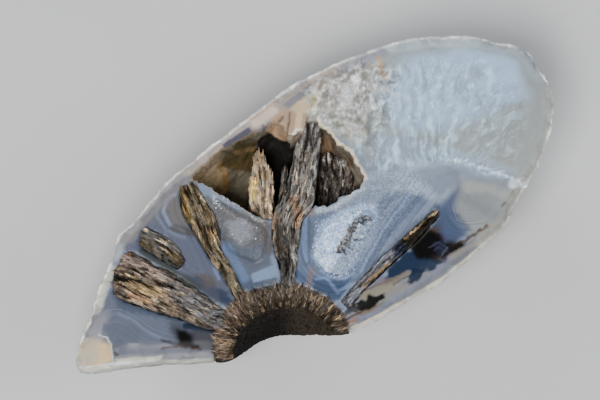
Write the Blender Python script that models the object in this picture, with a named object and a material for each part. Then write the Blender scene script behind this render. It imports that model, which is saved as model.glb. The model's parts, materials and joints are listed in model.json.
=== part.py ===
"""A broken agate nodule: a chunk of a wood cast that chalcedony has filled.

The face that shows the pattern points up, at about z = THICKNESS. +X runs to the right across it and +Y away
from the viewer, and the stone rests on a flat spot at z = 0. All lengths are millimetres until a mesh is made.
"""

import math
import random
from dataclasses import dataclass

import bmesh
import bpy
from mathutils import Vector, noise

MM = 0.001

# Driving sizes
THICKNESS = 28.0
GAP = 0.3  # clearance between a piece of wood or the crystal crust and the socket in the stone
SPINE_START = Vector((-28.0, -20.0))  # the rings of points across the face shrink towards this line
SPINE_END = Vector((34.0, 20.0))
FOOT_MIDDLE = Vector((4.6, 2.4))  # the flat spot that the stone rests on, an ellipse along the spine
FOOT_RADII = (17.0, 9.5)
CURVE_STEP = 2.4  # spacing of the points along a smooth stretch of the outline
FACE_RELIEF = 0.35
RIM_BAND = 2.2  # width of the outer band of chalcedony
RIM_LEDGE = 0.5  # the inner part of the face stands this much above the band
THROUGH = -2.0  # bottom of a piece that runs right through the stone
ABOVE = THICKNESS + 3.0  # top of every cutter


@dataclass(frozen=True)
class Stretch:
    """One stretch of the outline, and how the wall below it broke or grew."""

    points: tuple
    smooth: bool = False
    lip_width: float = 1.2  # from the edge of the face out to the widest line
    lip_drop: float = 1.6  # how far below the face the widest line lies
    lean: float = 0.5  # 1 slopes straight to the foot, 0 stays upright and then turns in under the stone
    bulge: float = 0.0
    flute: float = 0.0  # height of the upright ridges of old bark
    rise: float = 0.0  # the far side moved away from the viewer, who sees it over the edge of the face


# Anticlockwise from the lower left corner, seen from above.
OUTLINE = (
    Stretch(  # the straight break at the lower left
        points=((-50.7, -34.6), (-49.4, -37.6), (-46.8, -37.5), (-43.9, -37.0), (-42.0, -36.5), (-39.6, -36.2),
                (-37.4, -36.0), (-34.4, -35.5), (-30.0, -35.4), (-25.4, -35.2), (-21.5, -35.0)),
        lip_width=1.0, lip_drop=2.6, lean=0.30,
    ),
    Stretch(  # the open side of the central hollow, which is cut out below
        points=((-17.4, -35.0), (-12.0, -33.6), (-6.5, -32.0), (-1.5, -30.9), (3.0, -29.6)),
        lip_width=0.3, lip_drop=1.0, lean=0.45,
    ),
    Stretch(  # the scalloped break at the lower right
        points=((7.4, -28.9), (10.0, -27.7), (12.1, -26.8), (14.3, -25.7), (16.2, -24.4), (18.0, -23.3),
                (20.7, -21.6), (22.0, -20.5), (24.7, -19.2), (26.6, -18.0), (28.0, -17.0), (29.9, -15.1),
                (31.9, -13.6), (33.6, -12.3), (35.0, -10.7), (36.1, -9.6), (37.6, -8.5), (40.0, -6.6),
                (42.0, -4.3), (42.6, -2.6), (43.4, -0.2), (44.3, 0.9), (44.9, 2.8)),
        lip_width=2.0, lip_drop=2.2, lean=0.50,
    ),
    Stretch(  # the broad right end
        points=((46.1, 3.5), (47.0, 5.3), (47.7, 7.1), (48.6, 8.5), (49.2, 10.1), (50.0, 12.0), (51.0, 13.7),
                (51.7, 15.5), (51.8, 18.3), (52.1, 20.2), (52.3, 22.6), (52.1, 25.0), (52.0, 27.0),
                (50.9, 29.0), (49.9, 30.1), (48.4, 31.9), (48.0, 34.0), (47.1, 35.2), (46.0, 35.9)),
        lip_width=1.4, lip_drop=1.2, lean=0.28, rise=0.5,
    ),
    Stretch(  # the top of the right end
        points=((44.9, 36.4), (43.1, 36.7), (41.1, 36.9), (39.0, 37.3), (37.3, 37.9), (35.8, 38.3)),
        lip_width=0.9, lip_drop=0.9, lean=0.18, rise=0.5,
    ),
    Stretch(  # the old outside of the wood, a smooth curve
        points=((33.0, 38.6), (27.0, 38.6), (21.9, 38.1), (16.8, 36.6), (9.8, 34.0), (4.2, 31.6), (-2.0, 28.4),
                (-8.0, 24.4), (-13.6, 19.9), (-20.2, 14.5), (-25.0, 10.2), (-30.0, 6.1), (-33.4, 2.4),
                (-37.0, -2.4)),
        smooth=True, lip_width=0.4, lip_drop=0.7, lean=0.10, bulge=1.0, flute=0.3, rise=0.5,
    ),
    Stretch(  # the left end, with a low hump of cream skin
        points=((-38.8, -4.8), (-40.6, -6.2), (-42.1, -7.7), (-42.7, -9.5), (-43.0, -11.6), (-43.6, -13.4),
                (-44.5, -15.9), (-45.7, -19.2), (-46.4, -22.0), (-47.1, -24.4), (-47.9, -26.6), (-49.1, -30.0),
                (-49.9, -32.1)),
        lip_width=1.3, lip_drop=1.0, lean=0.24, rise=0.4,
    ),
)
WALL_LEVELS = (0.12, 0.28, 0.46, 0.64, 0.8, 0.92, 0.98, 1.0)  # shares of the way down from the widest line
FACE_SHARES = (0.25, 0.5, 0.75)  # rings of points across the face, as shares of the way in to the spine

# The cavity's mouth, the same way round, and how it narrows with depth
CAVITY_MOUTH = (
    (-26.6, 5.6), (-24.4, 4.6), (-22.2, 3.1), (-20.0, 1.6), (-18.0, 0.2), (-16.0, -1.0), (-14.0, -2.2),
    (-12.0, -3.4), (-9.6, -4.4), (-7.0, -2.6), (-3.0, -2.0), (0.0, -1.2), (3.0, -0.9), (6.0, 0.9), (8.0, 1.9),
    (9.8, 3.2), (11.0, 5.4), (10.2, 6.8), (9.6, 9.0), (8.6, 11.0), (6.6, 12.3), (5.0, 13.4), (3.8, 15.6),
    (2.4, 17.3), (0.4, 18.6), (-0.9, 18.4), (-2.2, 17.0), (-3.2, 16.4), (-4.8, 14.9), (-6.0, 16.0), (-7.0, 17.6),
    (-8.4, 19.0), (-10.0, 18.0), (-12.6, 15.9), (-16.0, 13.6), (-19.0, 12.0), (-21.6, 10.0), (-24.4, 7.6),
)
CAVITY_MIDDLE = (-7.0, 6.5)
CAVITY_LEVELS = ((ABOVE, 1.0), (24.0, 0.99), (19.0, 0.9), (14.0, 0.72), (11.0, 0.42))

# The pocket of white druse, right of the centre rib
POCKET_MOUTH = (
    (0.0, -12.6), (1.4, -14.6), (3.2, -16.2), (5.2, -16.6), (7.2, -15.8), (8.4, -13.8), (9.4, -11.0),
    (10.8, -8.2), (12.4, -5.6), (13.4, -3.6), (12.2, -1.9), (9.6, -1.8), (7.0, -2.6), (4.4, -4.2),
    (2.2, -6.4), (0.6, -9.2),
)
POCKET_MIDDLE = (6.6, -9.0)
POCKET_FLOOR = 25.6
POCKET_LEVELS = ((ABOVE, 1.0), (27.6, 1.0), (POCKET_FLOOR, 0.94))
CRUST_TOP = 26.3
CRUST_SHRINK = 0.84
CRYSTAL_SPACING = 1.5
CRYSTAL_RADIUS = (0.5, 0.85)
CRYSTAL_SIDES = 6

# The grey sunken patch between the slender rib and the centre rib
DISH_MOUTH = (
    (-23.4, -1.0), (-20.4, -6.6), (-18.4, -11.2), (-15.4, -13.0), (-12.2, -14.0), (-10.2, -12.4), (-9.5, -7.0),
    (-10.4, -5.6), (-12.6, -4.5), (-16.0, -2.3), (-19.6, 0.1), (-22.0, 1.8),
)
DISH_MIDDLE = (-15.6, -5.6)
DISH_LEVELS = ((ABOVE, 1.0), (28.0, 1.0), (26.9, 0.9), (26.5, 0.6))

# Shallow shell-shaped chips in the edge of the face: x, y, radius of the scar, depth
CHIPS = (
    (-47.2, -34.4, 5.6, 1.3), (-38.2, -36.6, 4.6, 1.3), (-46.6, -21.0, 4.0, 1.0), (-44.2, -14.6, 3.2, 0.8),
    (-42.0, -8.2, 3.4, 0.9), (-22.4, 11.2, 2.4, 0.5), (-16.6, 15.8, 2.6, 0.6), (-10.4, 20.6, 2.6, 0.6),
    (-3.0, 26.2, 2.4, 0.5), (28.0, 38.0, 3.4, 0.6), (50.2, 28.8, 3.8, 1.1), (51.6, 19.6, 3.2, 0.8),
    (46.4, 5.2, 3.4, 0.9), (43.8, 0.0, 3.6, 1.0), (38.6, -7.8, 3.0, 0.8), (33.0, -12.6, 3.2, 0.9),
    (27.6, -17.6, 3.0, 0.8), (20.4, -21.8, 3.4, 0.8), (12.4, -26.8, 2.8, 0.7),
)
# Deeper shell-shaped scars in the broken walls: x, y, z, radius of the sphere, depth
SCOOPS = (
    (30.0, -12.0, 14.0, 22.0, 1.8), (14.0, -20.0, 10.0, 18.0, 1.6), (44.0, 6.0, 12.0, 20.0, 1.8),
    (46.0, 24.0, 10.0, 22.0, 1.6), (-40.0, -31.0, 12.0, 20.0, 1.8), (-26.0, -29.0, 9.0, 18.0, 1.5),
    (-42.0, -20.0, 8.0, 16.0, 1.4),
)
SPHERE_DETAIL = ((0.0, 2), (8.5, 3))  # smallest radius, and how often an icosphere of it is divided

# The arc of fibres round the hollow, a band between two ellipses: middle x, y and radii x, y
RING_OUTER = (-6.5, -33.0, 14.2, 14.0)
RING_INNER = (-5.8, -34.0, 11.2, 10.4)
RING_ANGLES = (-12.0, 206.0)
RING_TEETH = 40
RING_ROWS = 4
TOOTH_HEIGHT = 0.45


@dataclass(frozen=True)
class Plank:
    """A rib of old wood: its two long edges from the hollow outwards, and the heights of its ends."""

    name: str
    near_edge: tuple
    far_edge: tuple
    strips: int
    start_top: float
    end_top: float
    bottom: float
    end_bulge: float = 0.0
    relief: float = 0.45


PLANKS = (
    Plank(
        name="wood_rib_wide",
        near_edge=((-17.6, -25.6), (-21.5, -23.0), (-24.0, -21.0), (-27.0, -18.7), (-30.0, -16.7), (-33.0, -15.2),
                   (-36.0, -13.4), (-39.2, -11.5)),
        far_edge=((-17.8, -28.6), (-22.0, -28.5), (-25.0, -27.3), (-29.0, -25.8), (-33.0, -24.7), (-36.0, -23.5),
                  (-40.0, -22.1), (-42.2, -20.4)),
        strips=7, start_top=28.2, end_top=28.4, bottom=THROUGH, end_bulge=1.0, relief=0.55,
    ),
    Plank(
        name="wood_rib_small",
        near_edge=((-27.6, -13.4), (-28.9, -11.2), (-30.3, -9.4), (-32.6, -7.9), (-34.8, -6.7), (-36.2, -5.9)),
        far_edge=((-28.9, -14.9), (-30.3, -14.3), (-31.7, -13.1), (-33.6, -12.1), (-35.3, -10.9), (-36.8, -10.0)),
        strips=4, start_top=28.1, end_top=28.6, bottom=21.0,
    ),
    Plank(
        name="wood_rib_slender",
        near_edge=((-14.4, -22.6), (-15.6, -19.9), (-16.6, -17.5), (-17.7, -15.0), (-19.3, -12.6), (-20.2, -10.0),
                   (-20.0, -8.0), (-21.0, -4.5), (-22.7, -1.4), (-24.2, 1.5), (-26.0, 4.5)),
        far_edge=((-16.0, -22.6), (-17.6, -19.3), (-19.0, -16.9), (-20.6, -14.4), (-22.2, -12.2), (-23.6, -9.8),
                  (-25.0, -7.0), (-26.4, -5.0), (-27.5, -3.0), (-28.2, 0.0), (-28.4, 3.0)),
        strips=4, start_top=28.3, end_top=27.9, bottom=17.0,
    ),
    Plank(
        name="wood_rib_centre",
        near_edge=((-4.3, -20.4), (-4.0, -15.5), (-3.8, -12.0), (-3.3, -8.5), (-2.7, -4.5), (-1.4, -2.3),
                   (-0.6, -0.8), (-0.3, 1.5), (0.1, 4.0), (0.3, 7.0), (0.8, 10.5), (1.3, 14.0), (1.0, 18.0)),
        far_edge=((-6.7, -20.4), (-6.5, -16.5), (-7.2, -13.8), (-7.9, -11.5), (-8.5, -8.0), (-8.7, -4.5),
                  (-7.9, -1.6), (-6.0, 0.5), (-5.2, 3.0), (-4.9, 6.0), (-4.2, 9.0), (-3.7, 12.5), (-1.5, 18.0)),
        strips=5, start_top=28.3, end_top=26.8, bottom=THROUGH,
    ),
    Plank(
        name="wood_rib_short",
        near_edge=((-9.3, -3.6), (-9.0, 0.5), (-8.8, 3.5), (-9.0, 6.0), (-9.6, 8.4), (-10.4, 10.8), (-11.2, 13.2)),
        far_edge=((-10.9, -3.0), (-12.9, -0.6), (-13.6, 1.8), (-13.8, 4.2), (-13.4, 7.0), (-12.8, 9.8),
                  (-12.3, 13.4)),
        strips=4, start_top=27.4, end_top=22.0, bottom=7.0,
    ),
    Plank(
        name="wood_splinter",
        near_edge=((-6.5, 1.2), (-5.9, 3.0), (-5.6, 6.0), (-5.7, 10.4)),
        far_edge=((-7.4, 0.8), (-7.1, 3.0), (-7.0, 6.0), (-6.6, 10.6)),
        strips=2, start_top=26.4, end_top=21.5, bottom=8.0, relief=0.3,
    ),
    Plank(
        name="wood_sheet_deep",
        near_edge=((6.2, 1.6), (8.0, 3.4), (8.8, 5.6), (8.8, 8.0), (7.0, 11.4)),
        far_edge=((1.3, 0.4), (1.4, 3.0), (1.6, 6.0), (2.0, 9.6), (2.4, 13.0)),
        strips=7, start_top=16.0, end_top=22.5, bottom=8.0, relief=0.6,
    ),
    Plank(
        name="wood_rib_long",
        near_edge=((7.6, -23.6), (10.5, -19.8), (14.2, -16.2), (17.4, -12.9), (19.8, -10.6), (23.5, -6.6),
                   (26.9, -2.7)),
        far_edge=((6.2, -22.4), (9.0, -18.6), (13.0, -14.5), (17.0, -10.5), (20.0, -7.7), (23.0, -4.8),
                  (26.3, -2.0)),
        strips=3, start_top=28.1, end_top=28.3, bottom=20.0, relief=0.3,
    ),
)
REACH_THE_RING = ("wood_rib_wide", "wood_rib_slender", "wood_rib_centre")
PLANK_STEP = 2.2
FIBRE_WOBBLE = 0.12

LOOKS = {  # base colour and roughness of each piece
    "agate_body": ((0.50, 0.53, 0.60), 0.25),
    "pith_ring": ((0.30, 0.18, 0.10), 0.85),
    "wood_rib_wide": ((0.38, 0.27, 0.19), 0.80),
    "wood_rib_small": ((0.33, 0.29, 0.24), 0.80),
    "wood_rib_slender": ((0.36, 0.27, 0.17), 0.80),
    "wood_rib_centre": ((0.35, 0.28, 0.21), 0.80),
    "wood_rib_short": ((0.42, 0.32, 0.19), 0.80),
    "wood_splinter": ((0.30, 0.24, 0.18), 0.85),
    "wood_sheet_deep": ((0.10, 0.075, 0.06), 0.85),
    "wood_rib_long": ((0.34, 0.25, 0.17), 0.80),
    "crystal_crust": ((0.78, 0.82, 0.88), 0.15),
}


def clear_scene():
    """Empties the scene."""
    for obj in list(bpy.data.objects):
        bpy.data.objects.remove(obj)


def new_collection(name):
    """A collection linked to the scene."""
    made = bpy.data.collections.new(name)
    bpy.context.scene.collection.children.link(made)
    return made


def own_material(name):
    """The plain material of one piece."""
    colour, roughness = LOOKS[name]
    made = bpy.data.materials.new(f"{name}_surface")
    made.use_nodes = True
    shader = made.node_tree.nodes["Principled BSDF"]
    shader.inputs["Base Color"].default_value = (*colour, 1.0)
    shader.inputs["Roughness"].default_value = roughness
    shader.inputs["Metallic"].default_value = 0.0
    return made


def mesh_object(name, mesh_data, collection):
    """An object that holds a finished bmesh with its faces pointing out, and its material where it is a piece."""
    bmesh.ops.remove_doubles(mesh_data, verts=mesh_data.verts, dist=0.00001)
    bmesh.ops.recalc_face_normals(mesh_data, faces=mesh_data.faces)
    mesh = bpy.data.meshes.new(name)
    mesh_data.to_mesh(mesh)
    mesh_data.free()
    obj = bpy.data.objects.new(name, mesh)
    collection.objects.link(obj)
    if name in LOOKS:
        mesh.materials.append(own_material(name))
    return obj


def make_cutter(obj):
    """Marks a helper, so that a render leaves it out."""
    obj.hide_render = True
    obj.display_type = "WIRE"
    return obj


def boolean(obj, other, operation):
    """Adds a Boolean modifier that works with one object, or with every object of a collection."""
    modifier = obj.modifiers.new(f"{operation.lower()} {other.name}", "BOOLEAN")
    modifier.operation = operation
    modifier.solver = "EXACT"
    if isinstance(other, bpy.types.Collection):
        modifier.operand_type = "COLLECTION"
        modifier.collection = other
    else:
        modifier.object = other
    return modifier


def smooth_curve(points, step):
    """Points about one step apart on a Catmull-Rom curve through the given ones."""
    given = [Vector(p) for p in points]
    ends = [given[0] * 2 - given[1], *given, given[-1] * 2 - given[-2]]
    found = []
    for before, a, b, after in zip(ends, ends[1:], ends[2:], ends[3:]):
        pieces = max(1, round((b - a).length / step))
        for i in range(pieces):
            t = i / pieces
            found.append(
                0.5 * (2 * a + (b - before) * t + (2 * before - 5 * a + 4 * b - after) * t**2
                       + (3 * a - before - 3 * b + after) * t**3)
            )
    return [*found, given[-1]]


def evenly_along(points, count):
    """The same line again, as that many points at equal distances along it."""
    line = smooth_curve(points, PLANK_STEP / 4)
    reach = [0.0]
    for a, b in zip(line, line[1:]):
        reach.append(reach[-1] + (b - a).length)
    found = []
    for i in range(count):
        want = reach[-1] * i / (count - 1)
        k = max(n for n, length in enumerate(reach) if length <= want + 1e-9)
        if k == len(line) - 1:
            found.append(line[-1])
        else:
            share = (want - reach[k]) / (reach[k + 1] - reach[k])
            found.append(line[k].lerp(line[k + 1], share))
    return found


def grown(outline, by):
    """An anticlockwise outline moved outwards by one distance."""
    points = [Vector(p) for p in outline]
    found = []
    for before, here, after in zip([points[-1], *points], points, [*points[1:], points[0]]):
        first = (here - before).normalized()
        second = (after - here).normalized()
        normal = Vector((first.y + second.y, -first.x - second.x))
        if normal.length < 0.2:
            normal = Vector((first.y, -first.x))
        normal.normalize()
        corner = max(0.5, normal.dot(Vector((first.y, -first.x))))
        found.append(here + normal * (by / corner))
    return found


def scaled(outline, middle, share):
    """An outline scaled about a middle."""
    centre = Vector(middle)
    return [centre + (Vector(p) - centre) * share for p in outline]


def nearest_on_spine(point):
    """The point of the stone's spine nearest to one of its outline."""
    along = SPINE_END - SPINE_START
    share = max(0.0, min(1.0, (point - SPINE_START).dot(along) / along.length_squared))
    return SPINE_START + along * share


def bridge(mesh_data, rings):
    """Quads between each closed ring of vertices and the next, and a cap on both ends."""
    for upper, lower in zip(rings, rings[1:]):
        for i in range(len(upper)):
            k = (i + 1) % len(upper)
            mesh_data.faces.new((upper[i], upper[k], lower[k], lower[i]))
    mesh_data.faces.new(rings[0])
    mesh_data.faces.new(rings[-1][::-1])


def ring_of(mesh_data, points):
    """Vertices for a ring of points in millimetres."""
    return [mesh_data.verts.new(Vector(p) * MM) for p in points]


def outline_columns():
    """Each point of the outline with its stretch and its ridge of old bark, a signed height."""
    columns = []
    for stretch in OUTLINE:
        points = smooth_curve(stretch.points, CURVE_STEP) if stretch.smooth else map(Vector, stretch.points)
        for n, point in enumerate(points):
            ridge = stretch.flute * (0.7 * (-1) ** n + noise.noise(Vector((n * 0.7, 2.2, 0.6))))
            columns.append((point + Vector((0.0, stretch.rise)), stretch, ridge))
    return columns


def foot_under(point):
    """The point on the edge of the resting spot that lies in the direction of a point of the outline."""
    along = (SPINE_END - SPINE_START).normalized()
    across = Vector((-along.y, along.x))
    away = point - FOOT_MIDDLE
    a, b = away.dot(along), away.dot(across)
    reach = 1 / math.hypot(a / FOOT_RADII[0], b / FOOT_RADII[1])
    return FOOT_MIDDLE + (along * a + across * b) * reach


def face_height(point, seed=0.0):
    """The height of the face at a point: nearly flat, with a low wave."""
    wave = noise.noise(Vector((point.x * 0.06, point.y * 0.06, 3.7 + seed)))
    fine = noise.noise(Vector((point.x * 0.22, point.y * 0.22, 9.1 + seed)))
    return THICKNESS + FACE_RELIEF * (1.4 * wave + 0.6 * fine)


def stone_loft(name, collection, raised=0.0):
    """The whole stone before anything is cut from it, as a loft of closed sections from the face down."""
    columns = outline_columns()
    rings = []
    for share in sorted(FACE_SHARES, reverse=True):
        ring = []
        for point, _, _ in columns:
            inner = point.lerp(nearest_on_spine(point), share)
            ring.append((inner.x, inner.y, face_height(inner) + raised))
        rings.append(ring)
    band_inner, band_outer, face_edge, widest = [], [], [], []
    for point, stretch, _ in columns:
        inwards = (nearest_on_spine(point) - point).normalized()
        edge = point + inwards * stretch.lip_width
        high = edge + inwards * (RIM_BAND + 0.4)
        low = edge + inwards * RIM_BAND
        band_inner.append((high.x, high.y, face_height(high) + raised))
        band_outer.append((low.x, low.y, face_height(low) - RIM_LEDGE + raised))
        face_edge.append((edge.x, edge.y, face_height(edge) - RIM_LEDGE + raised))
        widest.append((point.x, point.y, THICKNESS - RIM_LEDGE - stretch.lip_drop))
    rings += [band_inner, band_outer, face_edge, widest]
    for level in WALL_LEVELS:
        ring = []
        for point, stretch, ridge in columns:
            foot = foot_under(point)
            outwards = (point - foot).normalized()
            share = stretch.lean * level + (1 - stretch.lean) * level**6
            place = point.lerp(foot, share)
            upright = math.sin(math.pi * level)
            lumps = 0.8 * noise.noise(Vector((point.x * 0.10, point.y * 0.10, level * 6)))
            place += outwards * upright * (stretch.bulge + ridge + lumps)
            ring.append((place.x, place.y, (THICKNESS - RIM_LEDGE - stretch.lip_drop) * (1 - level)))
        rings.append(ring)
    mesh_data = bmesh.new()
    bridge(mesh_data, [ring_of(mesh_data, ring) for ring in rings])
    return mesh_object(name, mesh_data, collection)


def prism(name, outline, low, high, collection):
    """A flat outline with thickness: a filled 2D curve with an extrude, made a mesh."""
    curve = bpy.data.curves.new(name, "CURVE")
    curve.dimensions = "2D"
    curve.fill_mode = "BOTH"
    curve.extrude = (high - low) / 2 * MM
    spline = curve.splines.new("POLY")
    spline.points.add(len(outline) - 1)
    for point, place in zip(spline.points, outline):
        point.co = (place[0] * MM, place[1] * MM, 0.0, 1.0)
    spline.use_cyclic_u = True
    flat = bpy.data.objects.new(name, curve)
    collection.objects.link(flat)
    flat.location.z = (low + high) / 2 * MM
    bpy.context.view_layer.update()
    graph = bpy.context.evaluated_depsgraph_get()
    mesh = bpy.data.meshes.new_from_object(flat.evaluated_get(graph))
    mesh.transform(flat.matrix_world)
    bpy.data.objects.remove(flat)
    mesh_data = bmesh.new()
    mesh_data.from_mesh(mesh)
    return mesh_object(name, mesh_data, collection)


def bowl(name, mouth, middle, levels, collection):
    """A hollow's cutter: its mouth at each height, scaled about its middle."""
    mesh_data = bmesh.new()
    rings = [[(*p, height) for p in scaled(mouth, middle, share)] for height, share in levels]
    bridge(mesh_data, [ring_of(mesh_data, ring) for ring in rings])
    return make_cutter(mesh_object(name, mesh_data, collection))


def ball(name, centre, radius, collection):
    """A sphere that leaves a shell-shaped scar."""
    mesh_data = bmesh.new()
    detail = max(level for smallest, level in SPHERE_DETAIL if radius >= smallest)
    bmesh.ops.create_icosphere(mesh_data, subdivisions=detail, radius=radius * MM)
    bmesh.ops.translate(mesh_data, verts=mesh_data.verts, vec=Vector(centre) * MM)
    return make_cutter(mesh_object(name, mesh_data, collection))


def chip(n, x, y, scar, depth, collection):
    """A shallow scar in the face: a large sphere that only just dips into it."""
    radius = (scar**2 + depth**2) / (2 * depth)
    return ball(f"chip_{n}", (x, y, THICKNESS - RIM_LEDGE - depth + radius), radius, collection)


def scoop(n, x, y, z, radius, depth, collection):
    """A scar in a wall: a sphere outside the stone that reaches in to a depth below that point."""
    spine = nearest_on_spine(Vector((x, y)))
    outwards = (Vector((x, y, z)) - Vector((spine.x, spine.y, THICKNESS * 0.75))).normalized()
    return ball(f"scoop_{n}", Vector((x, y, z)) + outwards * (radius - depth), radius, collection)


def plank_grid(plank):
    """The top of a rib as rows of points, from the hollow outwards, with ridges along its fibres."""
    stations = max(3, round(sum((Vector(b) - Vector(a)).length for a, b in
                                zip(plank.near_edge, plank.near_edge[1:])) / PLANK_STEP))
    near = evenly_along(plank.near_edge, stations)
    far = evenly_along(plank.far_edge, stations)
    seed = sum(map(ord, plank.name)) * 0.37
    rows = []
    for i, (a, b) in enumerate(zip(near, far)):
        along = i / (stations - 1)
        step = near[min(i + 1, stations - 1)] - near[max(i - 1, 0)]
        row = []
        for j in range(plank.strips + 1):
            across = j / plank.strips
            place = a.lerp(b, across)
            inside = 0 < j < plank.strips
            if inside:
                place += (b - a).normalized() * FIBRE_WOBBLE * noise.noise(Vector((i * 0.9, j * 3.1, seed)))
            if i == stations - 1 and inside:
                ragged = 0.6 * noise.noise(Vector((j * 1.7, seed, 0.5)))
                place += step.normalized() * (plank.end_bulge * math.sin(math.pi * across) + ragged)
            ridge = plank.relief * (0.5 if j % 2 else -0.5)
            rough = plank.relief * noise.noise(Vector((i * 0.45, j * 1.3, seed)))
            height = plank.start_top + (plank.end_top - plank.start_top) * along + ridge + rough
            row.append(Vector((place.x, place.y, height)))
        rows.append(row)
    return rows


def border_of(rows, whole=True):
    """The outline of a grid of points, anticlockwise; only its two corners at the first row unless it is whole."""
    near = [row[0] for row in rows]
    far = [row[-1] for row in rows]
    return [*near, *rows[-1][1:-1], *far[::-1], *(rows[0][-2:0:-1] if whole else ())]


def solid_under(name, rows, bottom, collection):
    """A solid with a grid of points as its top, upright sides and a flat bottom."""
    mesh_data = bmesh.new()
    grid = [[mesh_data.verts.new(p * MM) for p in row] for row in rows]
    for upper, lower in zip(grid, grid[1:]):
        for j in range(len(upper) - 1):
            mesh_data.faces.new((upper[j], lower[j], lower[j + 1], upper[j + 1]))
    edge = border_of(grid)
    foot = [mesh_data.verts.new((v.co.x, v.co.y, bottom * MM)) for v in edge]
    for i in range(len(edge)):
        k = (i + 1) % len(edge)
        mesh_data.faces.new((edge[i], edge[k], foot[k], foot[i]))
    mesh_data.faces.new(foot)
    return mesh_object(name, mesh_data, collection)


def on_ellipse(ellipse, degrees, extra=0.0):
    """A point of an ellipse given as middle x, y and radii x, y, moved out by an extra radius."""
    x, y, across, up = ellipse
    angle = math.radians(degrees)
    return Vector((x + (across + extra) * math.cos(angle), y + (up + extra) * math.sin(angle)))


def ring_grid():
    """The top of the pith ring: spokes of points, every second one a ridge that sticks out."""
    start, end = RING_ANGLES
    rows = []
    for i in range(2 * RING_TEETH + 1):
        wander = 0.8 * noise.noise(Vector((i * 0.61, 1.3, 5.5)))
        degrees = end + (start - end) * (i + wander) / (2 * RING_TEETH)
        tooth = TOOTH_HEIGHT * (0.5 if i % 2 else -0.5) * (1 + 1.4 * noise.noise(Vector((i * 0.43, 8.1, 2.4))))
        tooth += 0.5 * noise.noise(Vector((i * 0.27, 4.2, 0.3)))
        outer = on_ellipse(RING_OUTER, degrees, tooth)
        inner = on_ellipse(RING_INNER, degrees, -0.5 * tooth)
        row = []
        for j in range(RING_ROWS + 1):
            place = inner.lerp(outer, j / RING_ROWS)
            rough = 0.5 * noise.noise(Vector((i * 0.5, j * 1.1, 7.7)))
            row.append(Vector((place.x, place.y, THICKNESS - 0.2 + 0.8 * tooth + rough)))
        rows.append(row)
    return rows


def hollow_cutter(rows, collection):
    """The space of the pith ring and the hollow inside it, open towards the viewer."""
    outer = grown([(p.x, p.y) for p in border_of(rows)], GAP)[len(rows) + RING_ROWS - 1:][:len(rows)]
    below = min(p.y for p in outer) - 8
    outline = [*outer, Vector((outer[-1].x, below)), Vector((outer[0].x, below))]
    return make_cutter(prism("hollow_cutter", outline, THROUGH - 1, ABOVE, collection))


def places_inside(outline, spacing, draw):
    """Points of a shaken grid that lie inside an outline."""
    found = []
    across, up = (range(int(min(p[k] for p in outline) / spacing) - 1, int(max(p[k] for p in outline) / spacing) + 2)
                  for k in (0, 1))
    for i in across:
        for j in up:
            shake = Vector((draw.uniform(-0.3, 0.3), draw.uniform(-0.3, 0.3)))
            place = (Vector((i + 0.5 * (j % 2), j)) + shake) * spacing
            crossings = 0
            for a, b in zip(outline, [*outline[1:], outline[0]]):
                if (a[1] > place.y) != (b[1] > place.y):
                    crossings += a[0] + (place.y - a[1]) / (b[1] - a[1]) * (b[0] - a[0]) > place.x
            if crossings % 2:
                found.append(place)
    return found


def crystal_crust(collection, cutters):
    """The druse in the pocket: a thin bed with six-sided points, all joined in one solid."""
    draw = random.Random(11)
    bed_outline = scaled(POCKET_MOUTH, POCKET_MIDDLE, CRUST_SHRINK)
    mesh_data = bmesh.new()
    rings = [[(*p, height) for p in bed_outline] for height in (CRUST_TOP, POCKET_FLOOR + GAP)]
    bridge(mesh_data, [ring_of(mesh_data, ring) for ring in rings])
    crust = mesh_object("crystal_crust", mesh_data, collection)
    points = bmesh.new()
    for place in places_inside(scaled(POCKET_MOUTH, POCKET_MIDDLE, CRUST_SHRINK - 0.12), CRYSTAL_SPACING, draw):
        radius = draw.uniform(*CRYSTAL_RADIUS)
        height = radius * draw.uniform(1.5, 2.3)
        made = bmesh.ops.create_cone(
            points, cap_ends=True, segments=CRYSTAL_SIDES, radius1=radius * MM, radius2=0.0, depth=height * MM
        )
        turn = Vector((draw.uniform(-0.45, 0.45), draw.uniform(-0.45, 0.45), 1.0)).to_track_quat("Z", "Y")
        bmesh.ops.rotate(points, verts=made["verts"], matrix=turn.to_matrix())
        middle = Vector((place.x, place.y, CRUST_TOP + 0.5 * height - 0.35 * radius))
        bmesh.ops.translate(points, verts=made["verts"], vec=middle * MM)
    mesh = bpy.data.meshes.new("crystal_points")
    points.to_mesh(mesh)
    points.free()
    crystals = make_cutter(bpy.data.objects.new("crystal_points", mesh))
    cutters.objects.link(crystals)
    boolean(crust, crystals, "UNION").use_self = True
    return crust


def centre_over_origin(parts, helpers):
    """Moves everything so that the middle of the finished stone's base is at the origin."""
    bpy.context.view_layer.update()
    graph = bpy.context.evaluated_depsgraph_get()
    corners = []
    for obj in parts.objects:
        finished = obj.evaluated_get(graph)
        corners += [finished.matrix_world @ Vector(c) for c in finished.bound_box]
    low = Vector(min(c[k] for c in corners) for k in range(3))
    high = Vector(max(c[k] for c in corners) for k in range(3))
    shift = Vector((-(low.x + high.x) / 2, -(low.y + high.y) / 2, -low.z))
    for collection in (parts, *helpers):
        for obj in collection.objects:
            for vertex in obj.data.vertices:
                vertex.co += shift
    return shift / MM


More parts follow.
